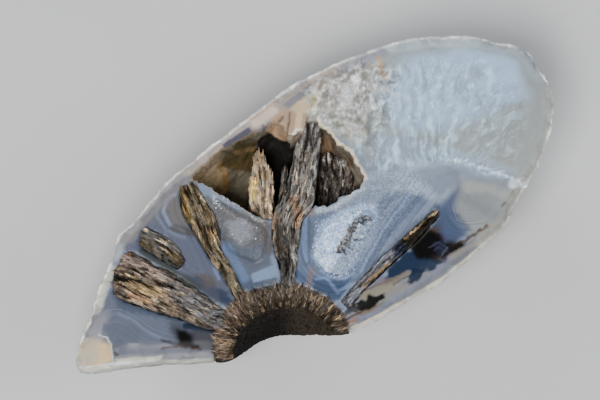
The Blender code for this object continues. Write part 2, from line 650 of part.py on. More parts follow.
def main():
    """Builds the stone, then the wood and the crystals that sit in it."""
    clear_scene()
    parts = new_collection("agate_nodule")
    cutters = new_collection("stone_cutters")
    shapers = new_collection("wood_shapers")
    stone = stone_loft("agate_body", parts)
    envelope = make_cutter(stone_loft("stone_envelope", shapers, raised=2.0))

    ring_rows = ring_grid()
    hollow = hollow_cutter(ring_rows, cutters)
    ring = solid_under("pith_ring", ring_rows, THROUGH, parts)
    boolean(ring, envelope, "INTERSECT")
    bowl("cavity_cutter", CAVITY_MOUTH, CAVITY_MIDDLE, CAVITY_LEVELS, cutters)
    bowl("dish_cutter", DISH_MOUTH, DISH_MIDDLE, DISH_LEVELS, cutters)
    bowl("pocket_cutter", POCKET_MOUTH, POCKET_MIDDLE, POCKET_LEVELS, cutters)

    for plank in PLANKS:
        rows = plank_grid(plank)
        through = plank.bottom == THROUGH
        wood = solid_under(plank.name, rows, plank.bottom, parts)
        if through:
            boolean(wood, envelope, "INTERSECT")
        if plank.name in REACH_THE_RING:
            boolean(wood, hollow, "DIFFERENCE")
        outline = grown([(p.x, p.y) for p in border_of(rows, whole=False)], GAP)
        floor = THROUGH - 1 if through else plank.bottom - GAP
        make_cutter(prism(f"{plank.name}_socket", outline, floor, ABOVE, cutters))

    for n, values in enumerate(CHIPS):
        chip(n, *values, cutters)
    for n, values in enumerate(SCOOPS):
        scoop(n, *values, cutters)
    boolean(stone, cutters, "DIFFERENCE")
    crystal_crust(parts, shapers)
    print("moved over the origin by", [round(v, 2) for v in centre_over_origin(parts, (cutters, shapers))], "mm")


main()
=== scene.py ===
"""The finished look of a broken agate nodule: chalcedony that has filled a chunk of old wood.

The face that shows the pattern points up. Colours and relief are laid out on a chart of that face, seen from above
in millimetres, with +X to the right and +Y away from the viewer.
"""

import json
import logging
import math
from dataclasses import dataclass
from enum import Enum

import bmesh
import bpy
import numpy as np
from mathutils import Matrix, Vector

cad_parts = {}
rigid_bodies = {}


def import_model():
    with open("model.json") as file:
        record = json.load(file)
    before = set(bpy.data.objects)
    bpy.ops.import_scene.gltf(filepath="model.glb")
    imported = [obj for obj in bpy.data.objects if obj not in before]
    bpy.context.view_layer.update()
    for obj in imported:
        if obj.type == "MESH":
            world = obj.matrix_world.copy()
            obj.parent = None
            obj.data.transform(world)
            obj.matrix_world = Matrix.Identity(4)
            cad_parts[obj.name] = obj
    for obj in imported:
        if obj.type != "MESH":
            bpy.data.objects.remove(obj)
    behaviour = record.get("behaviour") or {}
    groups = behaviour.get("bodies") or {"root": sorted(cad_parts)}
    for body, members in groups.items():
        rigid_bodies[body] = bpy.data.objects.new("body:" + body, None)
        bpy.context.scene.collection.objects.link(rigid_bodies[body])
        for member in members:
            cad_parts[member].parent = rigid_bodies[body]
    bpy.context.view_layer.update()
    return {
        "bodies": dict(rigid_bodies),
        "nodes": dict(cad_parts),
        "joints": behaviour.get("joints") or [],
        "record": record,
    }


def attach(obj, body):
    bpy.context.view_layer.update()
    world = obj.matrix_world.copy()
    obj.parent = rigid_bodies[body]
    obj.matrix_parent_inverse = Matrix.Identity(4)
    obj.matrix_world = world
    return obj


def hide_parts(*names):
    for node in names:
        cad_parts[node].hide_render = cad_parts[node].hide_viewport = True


LOG = logging.getLogger("agate")
MM = 0.001
CHART_SHIFT = 0.8  # a place on the chart is the place in the frame plus this, in x and in y
FACE = 28.0  # height of the face above the floor
SIGHT_SLOPE = 0.364  # the chart was read from a viewer at 70 degrees, who sees deeper places further down the page
STUDIO_LIGHT = 1.5  # what a white surface that faces up sends back in this light
SHEEN = 0.010  # what the gloss adds to any tone

Tone = tuple[float, float, float]  # red, green and blue of the surface as the eye sees it, 0 to 255
Line = tuple[tuple[float, float], ...]  # places on the chart
Socket = bpy.types.NodeSocket

# The whole outline of the face, anticlockwise
RIM: Line = (
    (-50.7, -34.6), (-49.4, -37.6), (-46.8, -37.5), (-42.0, -36.5), (-37.4, -36.0), (-30.0, -35.4), (-21.5, -35.0),
    (-17.4, -35.0), (-6.5, -32.0), (3.0, -29.6), (7.4, -28.9), (12.1, -26.8), (16.2, -24.4), (20.7, -21.6),
    (24.7, -19.2), (28.0, -17.0), (31.9, -13.6), (36.1, -9.6), (40.0, -6.6), (42.6, -2.6), (44.9, 2.8),
    (47.7, 7.1), (50.0, 12.0), (51.8, 18.3), (52.3, 22.6), (52.0, 27.0), (49.9, 30.1), (48.0, 34.0),
    (46.0, 35.9), (41.1, 36.9), (35.8, 38.3), (27.0, 38.6), (21.9, 38.1), (16.8, 36.6), (9.8, 34.0),
    (4.2, 31.6), (-2.0, 28.4), (-8.0, 24.4), (-13.6, 19.9), (-20.2, 14.5), (-25.0, 10.2), (-30.0, 6.1),
    (-33.4, 2.4), (-37.0, -2.4), (-40.6, -6.2), (-42.7, -9.5), (-43.6, -13.4), (-45.7, -19.2), (-47.1, -24.4),
    (-49.1, -30.0), (-49.9, -32.1),
)
CAVITY: Line = (
    (-26.6, 5.6), (-22.2, 3.1), (-18.0, 0.2), (-14.0, -2.2), (-9.6, -4.4), (-7.0, -2.6), (-3.0, -2.0),
    (0.0, -1.2), (3.0, -0.9), (6.0, 0.9), (9.8, 3.2), (11.0, 5.4), (10.2, 6.8), (8.6, 11.0), (5.0, 13.4),
    (3.8, 15.6), (2.4, 17.3), (0.4, 18.6), (-2.2, 17.0), (-4.8, 14.9), (-7.0, 17.6), (-8.4, 19.0),
    (-12.6, 15.9), (-19.0, 12.0), (-24.4, 7.6),
)
RING_MIDDLE = (-6.3, -33.4)
PLUME_ROOT = (25.0, 1.0)
BAND_ZONES: tuple[tuple[Line, float, float], ...] = (  # border of each zone, bands to a mm, strength
    (((-41, -10), (-37, -3), (-32, 3), (-28, 4), (-27, -2), (-24.5, -6), (-21.5, -12), (-17, -22), (-24, -20.6),
      (-30, -16.5)), 1.7, 0.9),
    (((-20, -11), (-14, -13.6), (-9, -12), (-7.4, -17), (-8, -20), (-15, -22)), 1.5, 0.7),
)
BAND_LINES: tuple[tuple[Line, Line, float, float], ...] = (  # line, border of its zone, bands to a mm, strength
    (((-48, -32), (-44.6, -26.4), (-42.0, -24.9), (-38.6, -26.4), (-36.0, -28.7), (-33.4, -30.1), (-30.0, -31.2), (-22, -32)),
     ((-45, -26), (-43, -21), (-36, -23.4), (-28, -26.6), (-29, -32), (-38, -33), (-43, -31)), 2.4, 0.95),
    (((-2.2, 4), (-2.7, -9), (-1.6, -14), (1.2, -17.4), (5, -18.2), (8.6, -16.4), (11.4, -11), (14, -6), (17, -1.6), (27, 12)),
     ((-3.6, -1), (-3.4, -20), (2, -22), (8, -22.6), (16, -14), (26, -1), (27, 3), (20, 8), (14, 4), (14, -2), (11, -8),
      (8, -15), (4, -17), (1, -14), (-0.4, -8), (0, -2)), 1.15, 1.3),
    (((24, 12), (28.4, 2), (29.2, -3.2), (30.3, -5.2), (32.8, -5.9), (37, -5.4), (44, -1.6), (50, 4)),
     ((28, 0), (27, -4), (28.6, -7.6), (33, -9.6), (38.4, -6.4), (38, -4), (34, -3.4), (32, -1)), 2.8, 1.5),
)
POCKET: Line = (
    (0.0, -12.6), (1.4, -14.6), (3.2, -16.2), (5.2, -16.6), (7.2, -15.8), (8.4, -13.8), (9.4, -11.0), (10.8, -8.2),
    (12.4, -5.6), (13.4, -3.6), (12.2, -1.9), (9.6, -1.8), (7.0, -2.6), (4.4, -4.2), (2.2, -6.4), (0.6, -9.2),
)


STONE_FIELDS = ("bands", "banding", "plume", "plumes", "curls", "crest", "druse", "edge", "skin", "dull")


class Slot(Enum):
    """The finishes that the record names."""

    CHALCEDONY = "chalcedony"
    PITH = "pith_fibre"
    WOOD = "rib_wood"
    DARK_WOOD = "dark_wood"
    DRUSE = "white_druse"


@dataclass(frozen=True)
class Stroke:
    """One stroke of colour on the chart: along a line, or over a closed patch.

    Attributes:
        tone: Its colour.
        line: The places it passes through, or its border.
        width: Half the width of its full colour, for a line.
        soft: How far it fades out beyond that.
        cover: How much of what lies under it is hidden, 0 to 1.
        closed: Whether the line is the border of a patch.
        wander: How far it strays, in mm.
    """

    tone: Tone
    line: Line
    width: float = 0.4
    soft: float = 0.6
    cover: float = 0.8
    closed: bool = False
    wander: float = 0.3


def patch(tone: Tone, line: Line, soft: float = 1.5, cover: float = 0.9, wander: float = 1.0) -> Stroke:
    """A closed patch of colour.

    Args:
        tone: Its colour.
        line: Its border.
        soft: How far it fades out.
        cover: How much it hides.
        wander: How far its edge strays.

    Returns:
        The stroke.
    """
    return Stroke(tone, line, 0.0, soft, cover, True, wander)


FACE_STROKES: tuple[Stroke, ...] = (
    # Plumes at the upper right
    patch((163, 169, 171), ((-2, 18), (0, 30), (10, 34), (24, 38.6), (44, 37), (52, 27), (51, 15), (46, 4), (40, 7.5),
        (31, 9), (20, 8), (12, 9), (10, 12), (3, 17)), 3.0, 1.0, 1.2),
    patch((172, 168, 160), ((-4, 19), (-2, 28), (8, 33), (16, 34), (13, 26), (11, 14), (8, 13), (3, 17.5)), 2.0, 0.8),
    patch((174, 187, 199), ((14, 24), (20, 33), (34, 36), (44, 33), (46, 24), (38, 20), (28, 16), (18, 17)), 4.0, 0.9),
    patch((162, 165, 164), ((44, 6), (41, 10), (46, 18), (48, 26), (52, 27), (52, 15), (48, 6)), 3.0, 0.9),
    patch((160, 172, 183), ((12, 9), (13, 16), (20, 15), (30, 12), (38, 10), (31, 9), (20, 8)), 2.5, 0.8),
    # Grey below the ridge, and the lobe at the right
    patch((160, 169, 179), ((9, 6), (20, 7.5), (31, 8), (40, 7), (45, 3), (41, -5), (34, -10), (30, -4), (27, 1),
        (20, -2), (14, -1)), 2.5, 0.95),
    patch((150, 153, 153), ((31, 5), (40, 6), (44.5, 3), (42, -4), (36, -9), (32, -7), (29.5, -3)), 2.6, 0.9),
    patch((128, 136, 150), ((23, 5), (31, 7.5), (32, 4), (27, 1.5)), 1.6, 0.6),
    # Blue-grey bands that sweep round the pocket
    patch((112, 127, 149), ((-3.5, -1), (3, -2), (9, 2), (14, 2), (19, 2.5), (25, 0.5), (17, -9), (8, -18.5), (6, -22),
        (-3.6, -21)), 1.6, 0.95),
    patch((144, 154, 168), ((3, -2), (9, 2.5), (13, 6), (18, 5), (14, -1), (10, -2.5)), 2.0, 0.85),
    # The grey patch and the blue below it, between the slender and the centre rib
    patch((106, 114, 128), ((-24, 2), (-10, -4.6), (-9, -14), (-7, -20), (-15, -22.5), (-20, -12)), 1.0, 1.0),
    patch((112, 111, 113), ((-24, 1.2), (-10.3, -4.4), (-9.2, -9), (-14, -10.5), (-19, -9)), 1.6, 0.9),
    patch((152, 156, 163), ((-19, -4.6), (-14.5, -4), (-13, -8), (-16, -9.6), (-18, -8)), 1.8, 0.75),
    patch((106, 98, 92), ((-10.8, -4.8), (-8.8, -5), (-9, -12), (-10.6, -12)), 1.4, 0.7),
    patch((86, 101, 121), ((-19, -10.4), (-14.5, -17.5), (-9, -18.4), (-8, -20), (-15, -21.5)), 1.0, 0.9),
    patch((140, 158, 178), ((-13.4, -16.5), (-8.5, -14.3), (-7.5, -17), (-12.8, -18.3)), 0.35, 0.85, 0.25),
    Stroke((120, 139, 166), ((-18.6, -10.4), (-16.8, -13.6), (-14.6, -17.4)), 0.5, 0.9, 0.7),
    # Between the wide rib and the slender one
    patch((106, 112, 130), ((-43, -11), (-37, -2), (-32, 3), (-28, 5), (-26, -3), (-20, -14), (-16, -24), (-24, -21),
        (-38, -11.5)), 1.4, 1.0),
    patch((112, 115, 125), ((-36, -3), (-32, 2), (-28, 3.6), (-29, -1), (-34, -6)), 1.8, 0.7),
    patch((124, 121, 119), ((-31.2, 0.6), (-29.4, 1.4), (-27.8, -1), (-26.6, -4.6), (-28.4, -5.6), (-30.6, -4.2),
        (-31.6, -1.6)), 0.9, 0.85),
    Stroke((150, 158, 172), ((-29.6, 1.8), (-31.4, 0.2), (-32.2, -2.4), (-30.6, -5.3), (-27.6, -6.8)), 0.18, 0.35, 0.75),
    Stroke((140, 149, 166), ((-31.4, 2.4), (-33.2, -0.2), (-33.6, -3.2), (-31.4, -6.6), (-27.6, -8.2)), 0.15, 0.4, 0.5),
    Stroke((88, 84, 70), ((-29.6, -6.0), (-27.0, -6.9), (-25.2, -7.2)), 0.5, 0.8, 0.75),
    patch((72, 80, 96), ((-27.6, -16.4), (-23, -17.4), (-17.4, -22.6), (-16.4, -24.6), (-21, -23), (-26.2, -18.9)), 1.1,
        0.9),
    patch((48, 62, 88), ((-20.6, -19.4), (-18.6, -20), (-17, -23.4), (-19.4, -23)), 0.9, 0.8),
    patch((104, 99, 97), ((-25, -16.6), (-21.6, -16.8), (-20.4, -19.2), (-22.6, -19.6)), 1.1, 0.85),
    Stroke((137, 149, 171), ((-21.6, -12.6), (-21.1, -15.2), (-20.2, -17.4)), 0.2, 0.4, 0.75),
    # Painted shadow along the upper edge of the wide rib
    Stroke((70, 76, 68), ((-36.8, -11.4), (-32.8, -14.0), (-28.4, -16.8), (-24.6, -19.6)), 0.35, 0.7, 0.8),
    # The sector at the lower left
    patch((113, 120, 136), ((-47.5, -25), (-43, -20), (-36, -23), (-30, -25), (-24, -27.8), (-19, -28.4), (-19, -35.4),
        (-42, -36.4), (-50, -35)), 1.2, 1.0),
    patch((122, 125, 136), ((-43, -29), (-37, -31), (-20, -33), (-20, -35.4), (-30, -36), (-42, -37)), 2.2, 0.8),
    patch((86, 99, 118), ((-43, -20.6), (-38, -23), (-30, -25.4), (-24, -28.2), (-27, -28.2), (-34, -26), (-42, -23.6)),
        1.2, 0.85),
    patch((66, 66, 73), ((-26.4, -29), (-19.6, -28.8), (-19.4, -33.6), (-26, -33.4)), 1.6, 0.95),
    patch((150, 151, 156), ((-49, -25), (-51, -31), (-48, -33), (-44, -31.6), (-43.4, -25)), 2.4, 0.9),
    patch((182, 174, 158), ((-51.6, -38.6), (-49.6, -31), (-45.4, -31), (-42.4, -32.5), (-41.8, -38.5)), 2.0, 0.95, 0.3),
    patch((196, 184, 156), ((-45.2, -32), (-43.2, -32.4), (-42.6, -36.4), (-47, -36.8)), 1.8, 0.8),
    patch((108, 115, 130), ((-44.4, -27.5), (-44.9, -29.8), (-43.4, -30.9), (-42.8, -32.2), (-42.5, -35.8), (-38, -35),
        (-36, -28)), 0.45, 0.9, 0.2),
    Stroke((192, 195, 196), ((-45.4, -29.9), (-43.6, -30.6), (-42.9, -32.1), (-42.6, -34.4), (-42.2, -37.2)), 0.06, 0.22,
        0.85),
    patch((146, 148, 152), ((-41.6, -34.6), (-30, -34.2), (-20, -33.8), (-20, -36), (-42, -37.6)), 1.0, 0.85, 0.3),
    patch((188, 188, 178), ((-41.8, -35.4), (-33, -34.7), (-31.8, -34.5), (-32.4, -36), (-42, -37.6)), 0.5, 0.8, 0.2),
    Stroke((134, 142, 160), ((-41.6, -25.2), (-38.4, -26.4), (-36.0, -28.6), (-33.4, -30.0), (-30.6, -31.2)), 0.1, 0.3,
        0.6),
    patch((58, 60, 70), ((-30.6, -27.6), (-28, -27.6), (-25.4, -29.6), (-24.6, -32.6), (-28.6, -32), (-29.4, -30.4)), 1.8,
        0.75),
    patch((9, 9, 14), ((-29.0, -28.8), (-27.0, -28.9), (-25.8, -30.2), (-25.3, -32.2), (-26.8, -32.8), (-28.4, -32.0)), 1.2, 1.0, 0.15),
    Stroke((34, 28, 32), ((-31.8, -31.0), (-29.4, -31.8), (-26.8, -32.0), (-24.6, -32.8)), 0.15, 0.5, 0.8, wander=0.6),
    Stroke((74, 50, 36), ((-31.8, -32.9), (-29.4, -32.3), (-25.6, -32.9), (-23.6, -33.4)), 0.08, 0.3, 0.8, wander=0.6),
    Stroke((36, 48, 68), ((-27.0, -27.9), (-23.6, -28.6), (-20.2, -28.9)), 0.45, 0.5, 0.95),
    Stroke((80, 82, 94), ((-24.0, -30.2), (-21.0, -31.2), (-20.6, -33.0)), 0.6, 1.2, 0.6),
    Stroke((70, 46, 28), ((-42.2, -34.1), (-41.4, -34.6)), 0.14, 0.3, 0.95, wander=0.6),
    Stroke((196, 200, 202), ((-49.4, -37.4), (-42.0, -36.5), (-37.0, -36.0), (-32.6, -35.7)), 0.1, 0.4, 0.8),
    # The left end and its rim
    Stroke((150, 152, 156), ((-43.6, -10.5), (-45.2, -17.0), (-47.0, -24.6), (-48.8, -30.0)), 0.8, 1.6, 0.8),
    Stroke((186, 187, 182), ((-43.4, -15.5), (-45.2, -20.0), (-46.4, -24.0)), 0.9, 0.9, 0.85),
    Stroke((177, 180, 182), ((-42.6, -12.0), (-41.9, -9.0), (-40.6, -7.2), (-38.6, -5.2)), 1.1, 1.2, 0.8),
    Stroke((142, 140, 141), ((-40.0, -8.0), (-35.4, -2.4), (-31.4, 2.2), (-26.4, 6.2)), 1.2, 1.0, 0.75),
    Stroke((170, 168, 169), ((-38.6, -4.6), (-34.4, 0.6), (-30.6, 4.6), (-25.4, 8.8), (-20.6, 12.8)), 0.5, 0.8, 0.6),
    # Windows of lavender chalcedony in the rim, and orange stains
    Stroke((172, 165, 158), ((-27.0, 8.0), (-20.0, 13.4), (-13.0, 18.4), (-6.0, 22.8), (1.0, 26.8), (6.0, 30.0)), 1.7, 1.0, 0.85),
    patch((72, 76, 100), ((-19.8, 13.0), (-19.0, 12.0), (-12.4, 15.4), (-14.0, 17.2)), 0.3, 0.92, 0.2),
    patch((140, 139, 148), ((-6.8, 22.2), (-5.6, 21.4), (0.6, 25.4), (-0.6, 27.2)), 0.3, 0.85, 0.2),
    Stroke((196, 190, 182), ((-12.4, 18.0), (-8.6, 20.8)), 0.7, 0.6, 0.7),
    Stroke((190, 168, 146), ((-17.2, 16.4), (-12.8, 19.6), (-8.4, 22.5)), 0.12, 0.3, 0.6),
    Stroke((160, 162, 170), ((6.5, 30.6), (11.0, 32.4), (15.0, 34.2)), 0.9, 0.8, 0.75),
    Stroke((178, 185, 188), ((17.0, 35.6), (26.0, 37.2), (35.0, 36.8)), 0.9, 1.0, 0.7),
    Stroke((190, 168, 132), ((14.2, 33.4), (14.8, 30.8), (15.5, 28.2)), 0.25, 0.7, 0.6),
    patch((192, 183, 158), ((-5.2, 21.6), (-3.4, 20.0), (0.8, 21.0), (1.8, 25.6), (-1.0, 24.8)), 0.7, 0.75),
    Stroke((205, 211, 214), ((6.8, 22.6), (7.6, 25.4), (9.2, 28.2)), 0.7, 1.2, 0.75),
    # Druse and the pocket's surroundings
    Stroke((172, 172, 166), ((-23.5, 4.3), (-21.0, 2.0), (-19.0, 0.8), (-15.0, -1.8), (-12.5, -4.0), (-10.4, -4.6)), 0.05,
        0.3, 0.7),
    Stroke((184, 190, 194), ((0.8, -2.2), (4.0, -1.6), (8.0, 1.2), (10.6, 3.4)), 0.1, 0.9, 0.6),
    patch((160, 174, 190), ((-0.4, -10), (1, -5.5), (5, -2.8), (10, -0.4), (14, -1), (14, -4), (10.4, -10.4), (8.4, -14.6),
        (6, -16.9), (3, -16.4), (0.2, -13.4)), 1.4, 0.9),
    patch((142, 154, 169), ((8, -13.6), (7.4, -9), (9, -5), (12.4, -3.4), (13, -6.5), (10.6, -11)), 1.0, 0.85),
    patch((96, 107, 123), ((-2.4, -2.4), (-0.2, -3.4), (-0.2, -13.4), (-1.2, -15.4), (-2.6, -14)), 0.9, 0.75),
    Stroke((138, 156, 181), ((-1.7, -3.0), (-1.9, -9.0), (-1.4, -13.4)), 0.2, 0.5, 0.6),
    Stroke((150, 129, 110), ((-1.1, -1.4), (-0.4, -2.8)), 0.4, 0.8, 0.6),
    Stroke((150, 165, 186), ((1.6, -15.6), (3.4, -17.1), (6.4, -17.5), (8.6, -16.4)), 0.08, 0.3, 0.7),
    patch((62, 82, 112), ((-0.6, -16.6), (2, -17.4), (6, -18.4), (9, -17.2), (7, -19.6), (5.4, -22.6), (3.6, -22.4),
        (0, -19.6)), 0.8, 0.85),
    Stroke((132, 149, 176), ((0.4, -17.4), (2.6, -17.2), (5.1, -20.6), (6.6, -19.6), (9.2, -17.4)), 0.1, 0.4, 0.7),
    Stroke((74, 98, 134), ((-3.6, -16.2), (-2.2, -17.6), (-1.6, -19.4)), 0.4, 0.8, 0.7),
    Stroke((134, 124, 124), ((-0.2, -15.4), (-0.9, -17.4), (-1.2, -19.6)), 0.4, 0.6, 0.65),
    Stroke((150, 163, 184), ((9.8, -15.6), (13.2, -9.4), (16.8, -3.8), (21.2, 2.4)), 0.1, 0.4, 0.5, wander=0.6),
    Stroke((156, 164, 174), ((9.8, -12.6), (12.6, -8.0), (15.6, -2.6), (19.0, 2.0)), 0.2, 0.8, 0.35, wander=0.9),
    Stroke((146, 154, 166), ((14.4, -12.0), (18.0, -6.6), (22.6, -0.6)), 0.2, 0.8, 0.35, wander=0.9),
    Stroke((88, 103, 128), ((10.8, -16.2), (14.6, -9.6), (18.8, -4.0), (23.4, 1.6)), 0.2, 0.7, 0.5, wander=0.6),
    # The curtain that hangs over the top of the cavity: cream with brown streaks, which also stand as painted shade in
    # its folds, and a painted highlight along its lower edge
    patch((176, 160, 140), ((-9.5, 18.8), (-7.2, 20.8), (-5.7, 21.5), (-4.1, 20.4), (-1.8, 20.4), (-1.1, 18.8), (-2.2, 16.1),
        (-3.4, 16.5), (-4.7, 14.9), (-5.7, 15.1), (-6.6, 16.7), (-7.9, 16.9)), 0.5, 0.9, 0.3),
    Stroke((198, 188, 172), ((-3.4, 17.0), (-3.1, 20.0)), 0.4, 0.5, 0.7),
    Stroke((102, 79, 54), ((-7.5, 17.2), (-6.8, 19.4)), 0.15, 0.35, 0.75),
    Stroke((92, 70, 46), ((-5.7, 15.8), (-5.3, 18.4), (-5.2, 20.4)), 0.1, 0.3, 0.75),
    Stroke((108, 86, 60), ((-1.7, 16.6), (-1.3, 19.2)), 0.15, 0.4, 0.7),
    # Painted highlight along the curtain's lower edge
    Stroke((210, 204, 194), ((-5.9, 15.4), (-4.8, 15.1), (-3.6, 16.5), (-2.4, 16.3)), 0.1, 0.3, 0.85),
    # Along the long rib
    patch((94, 104, 124), ((8, -18.6), (17, -9.4), (23, -3.2), (26.6, -0.4), (27.6, -2), (20, -8.6), (10, -18.8)), 0.8,
        0.75),
    patch((142, 141, 140), ((9, -21.5), (14, -17.8), (20, -16.4), (25, -15.6), (29, -13.6), (26, -18), (18, -22), (8, -27)),
        1.2, 0.95),
    patch((150, 143, 126), ((9, -21), (14, -18.4), (18, -17.6), (16, -20.6), (11, -22)), 1.2, 0.8),
    patch((28, 46, 76), ((14.8, -18.8), (16.4, -14.4), (18.6, -10.6), (24, -11), (27.4, -13.4), (25.4, -15.6), (21, -16.8),
        (17.4, -18)), 0.7, 0.97, 1.3),
    patch((24, 40, 70), ((18.6, -18.8), (19.8, -18), (20.4, -15.6), (23.2, -15.6), (22.8, -17.6), (20.8, -18.6)), 0.4, 0.95,
        1.3),
    Stroke((152, 143, 132), ((14.6, -18.5), (17.4, -17.6), (20.2, -16.0)), 0.3, 0.5, 0.7),
    Stroke((118, 112, 126), ((12.0, -18.8), (15.0, -17.6)), 0.5, 0.8, 0.6),
    patch((40, 54, 84), ((24.4, -5.0), (26.8, -1.6), (29.4, -4.4), (31.6, -7.4), (30, -9), (26, -8)), 1.2, 0.85),
    patch((8, 8, 14), ((20.0, -9.8), (22, -7.2), (25, -5.8), (27.6, -7.4), (30.4, -9.0), (32.6, -8.6), (33, -10.2),
        (29.6, -12.6), (25.8, -13.2), (22.4, -12.8)), 1.2, 1.0, 0.9),
    patch((36, 42, 62), ((25.4, -9.2), (28.2, -9.6), (29.0, -11.8), (26.4, -12.2)), 0.8, 0.8, 0.8),
    Stroke((84, 86, 112), ((24.6, -10.6), (26.8, -9.2), (28.6, -10.6), (27.4, -12.2)), 0.04, 0.25, 0.6, wander=0.5),
    Stroke((70, 72, 98), ((25.6, -11.2), (26.8, -10.2), (27.8, -11.0)), 0.04, 0.22, 0.6, wander=0.5),
    Stroke((92, 72, 50), ((23.8, -6.4), (26.4, -6.2), (28.2, -4.7)), 0.08, 0.35, 0.8, wander=0.8),
    Stroke((46, 32, 26), ((23.5, -6.4), (27.2, -7.6), (29.4, -9.4), (32.6, -8.4), (36.8, -5.6)), 0.18, 0.35, 0.85, wander=1.2),
    Stroke((112, 88, 62), ((32.0, -8.9), (34.6, -7.4), (37.0, -5.5)), 0.1, 0.25, 0.8, wander=0.7),
    Stroke((48, 38, 38), ((26.0, -12.8), (29.6, -13.4), (32.6, -10.6), (34.6, -8.8)), 0.4, 0.7, 0.75, wander=1.0),
    Stroke((156, 153, 148), ((29.6, -12.9), (33.4, -10.6), (37.2, -7.6)), 0.6, 0.8, 0.75),
    patch((84, 94, 126), ((26.0, -2.6), (28.2, 0.4), (31.6, 3.8), (30.4, -0.6), (30.0, -4.4), (33, -7.8), (28, -9)), 2.2, 0.9, 0.4),
    patch((86, 102, 128), ((27.2, -1.4), (31, -2.6), (33.6, -6.6), (30, -8.6), (27.4, -6.6)), 1.4, 0.75),
    Stroke((84, 66, 46), ((43.4, 3.0), (42.0, 0.8), (40.4, -1.2)), 0.07, 0.2, 0.85),
    Stroke((172, 173, 170), ((33.0, 3.8), (38.0, 3.4), (42.0, 1.0)), 0.5, 1.6, 0.55, wander=1.2),
    Stroke((134, 138, 144), ((32.6, 1.0), (36.6, -1.6), (39.0, -3.6)), 0.4, 1.6, 0.45, wander=1.2),
    # Painted highlight on a small facet near the right edge
    Stroke((206, 208, 208), ((42.8, 4.0), (45.6, 4.4)), 0.7, 0.8, 0.8),
    patch((116, 98, 70), ((8.4, -24.6), (11.4, -24.2), (15.4, -22.4), (14.6, -24.2), (10, -26.0)), 0.6, 0.8, 0.5),
    patch((8, 8, 13), ((8.4, -23.4), (9.9, -22.0), (11.0, -22.2), (11.4, -20.9), (13.4, -21.3), (15.1, -20.7), (15.3, -22.0),
        (13.8, -22.5), (12.7, -24.1), (10.4, -24.6)), 0.5, 1.0, 0.6),
    Stroke((104, 90, 66), ((10.0, -20.4), (14.0, -18.6), (18.0, -17.2)), 0.06, 0.25, 0.6, wander=0.5),
    Stroke((34, 30, 28), ((5.2, -27.4), (7.6, -25.9), (10.0, -25.0)), 0.12, 0.35, 0.8, wander=0.5),
    Stroke((40, 36, 38), ((4.4, -26.4), (6.6, -25.2), (9.2, -24.0)), 0.45, 0.5, 0.85, wander=0.8),
    Stroke((150, 148, 146), ((4.2, -27.4), (6.4, -26.1), (8.6, -25.1)), 0.15, 0.2, 0.7),
    Stroke((148, 106, 76), ((6.8, -27.5), (9.2, -26.4)), 0.35, 0.5, 0.8),
    Stroke((186, 180, 174), ((5.0, -28.8), (9.0, -27.8)), 0.4, 0.5, 0.8),
    # The edge of the face at the lower right
    patch((126, 130, 138), ((6, -31), (7.4, -27.8), (12.1, -25.6), (16.4, -22.6), (20.6, -20.0), (24.9, -16.8), (29.2, -13.6),
        (33.5, -10.6), (40, -8), (30, -19), (16, -27)), 0.7, 0.9, 0.3),
    Stroke((128, 132, 152), ((9.4, -26.4), (12.1, -25.4), (16.4, -22.3), (20.6, -19.7), (24.9, -16.5), (29.2, -13.2)), 0.15, 0.5,
        0.75),
    Stroke((192, 186, 170), ((8.0, -28.6), (15.0, -25.1), (21.0, -21.6), (28.0, -17.1), (35.4, -10.6), (41.4, -5.0)), 0.12,
        0.3, 0.9),
    Stroke((158, 156, 150), ((37.0, -8.0), (41.6, -3.4), (43.8, 1.0), (46.6, 5.6)), 0.9, 1.2, 0.75),
    Stroke((176, 176, 172), ((47.6, 8.6), (50.4, 14.6), (51.4, 21.6), (51.0, 27.6), (47.6, 33.8)), 0.3, 0.5, 0.5),
    # The ridge, with a painted highlight on its crest and painted shade in front of it
    Stroke((136, 145, 156), ((22.0, 6.2), (27.0, 7.4), (31.0, 6.8), (37.0, 5.4), (41.4, 3.4)), 0.2, 2.0, 0.5, wander=1.0),
    Stroke((176, 187, 196), ((21.0, 8.4), (25.0, 9.8), (29.0, 9.9), (34.6, 8.4), (40.4, 6.6)), 0.3, 2.6, 0.45,
        wander=1.2),
    Stroke((192, 201, 207), ((27.0, 9.8), (31.0, 9.4), (34.6, 8.1), (38.0, 7.2), (41.0, 5.9), (48.0, 1.6)), 0.05, 0.6, 0.75,
        wander=0.6),
    # The edge of the cavity
    Stroke((132, 118, 92), ((-26.0, 4.4), (-22.6, 8.4), (-19.4, 11.6), (-13.0, 15.8)), 0.2, 0.4, 0.6),
)

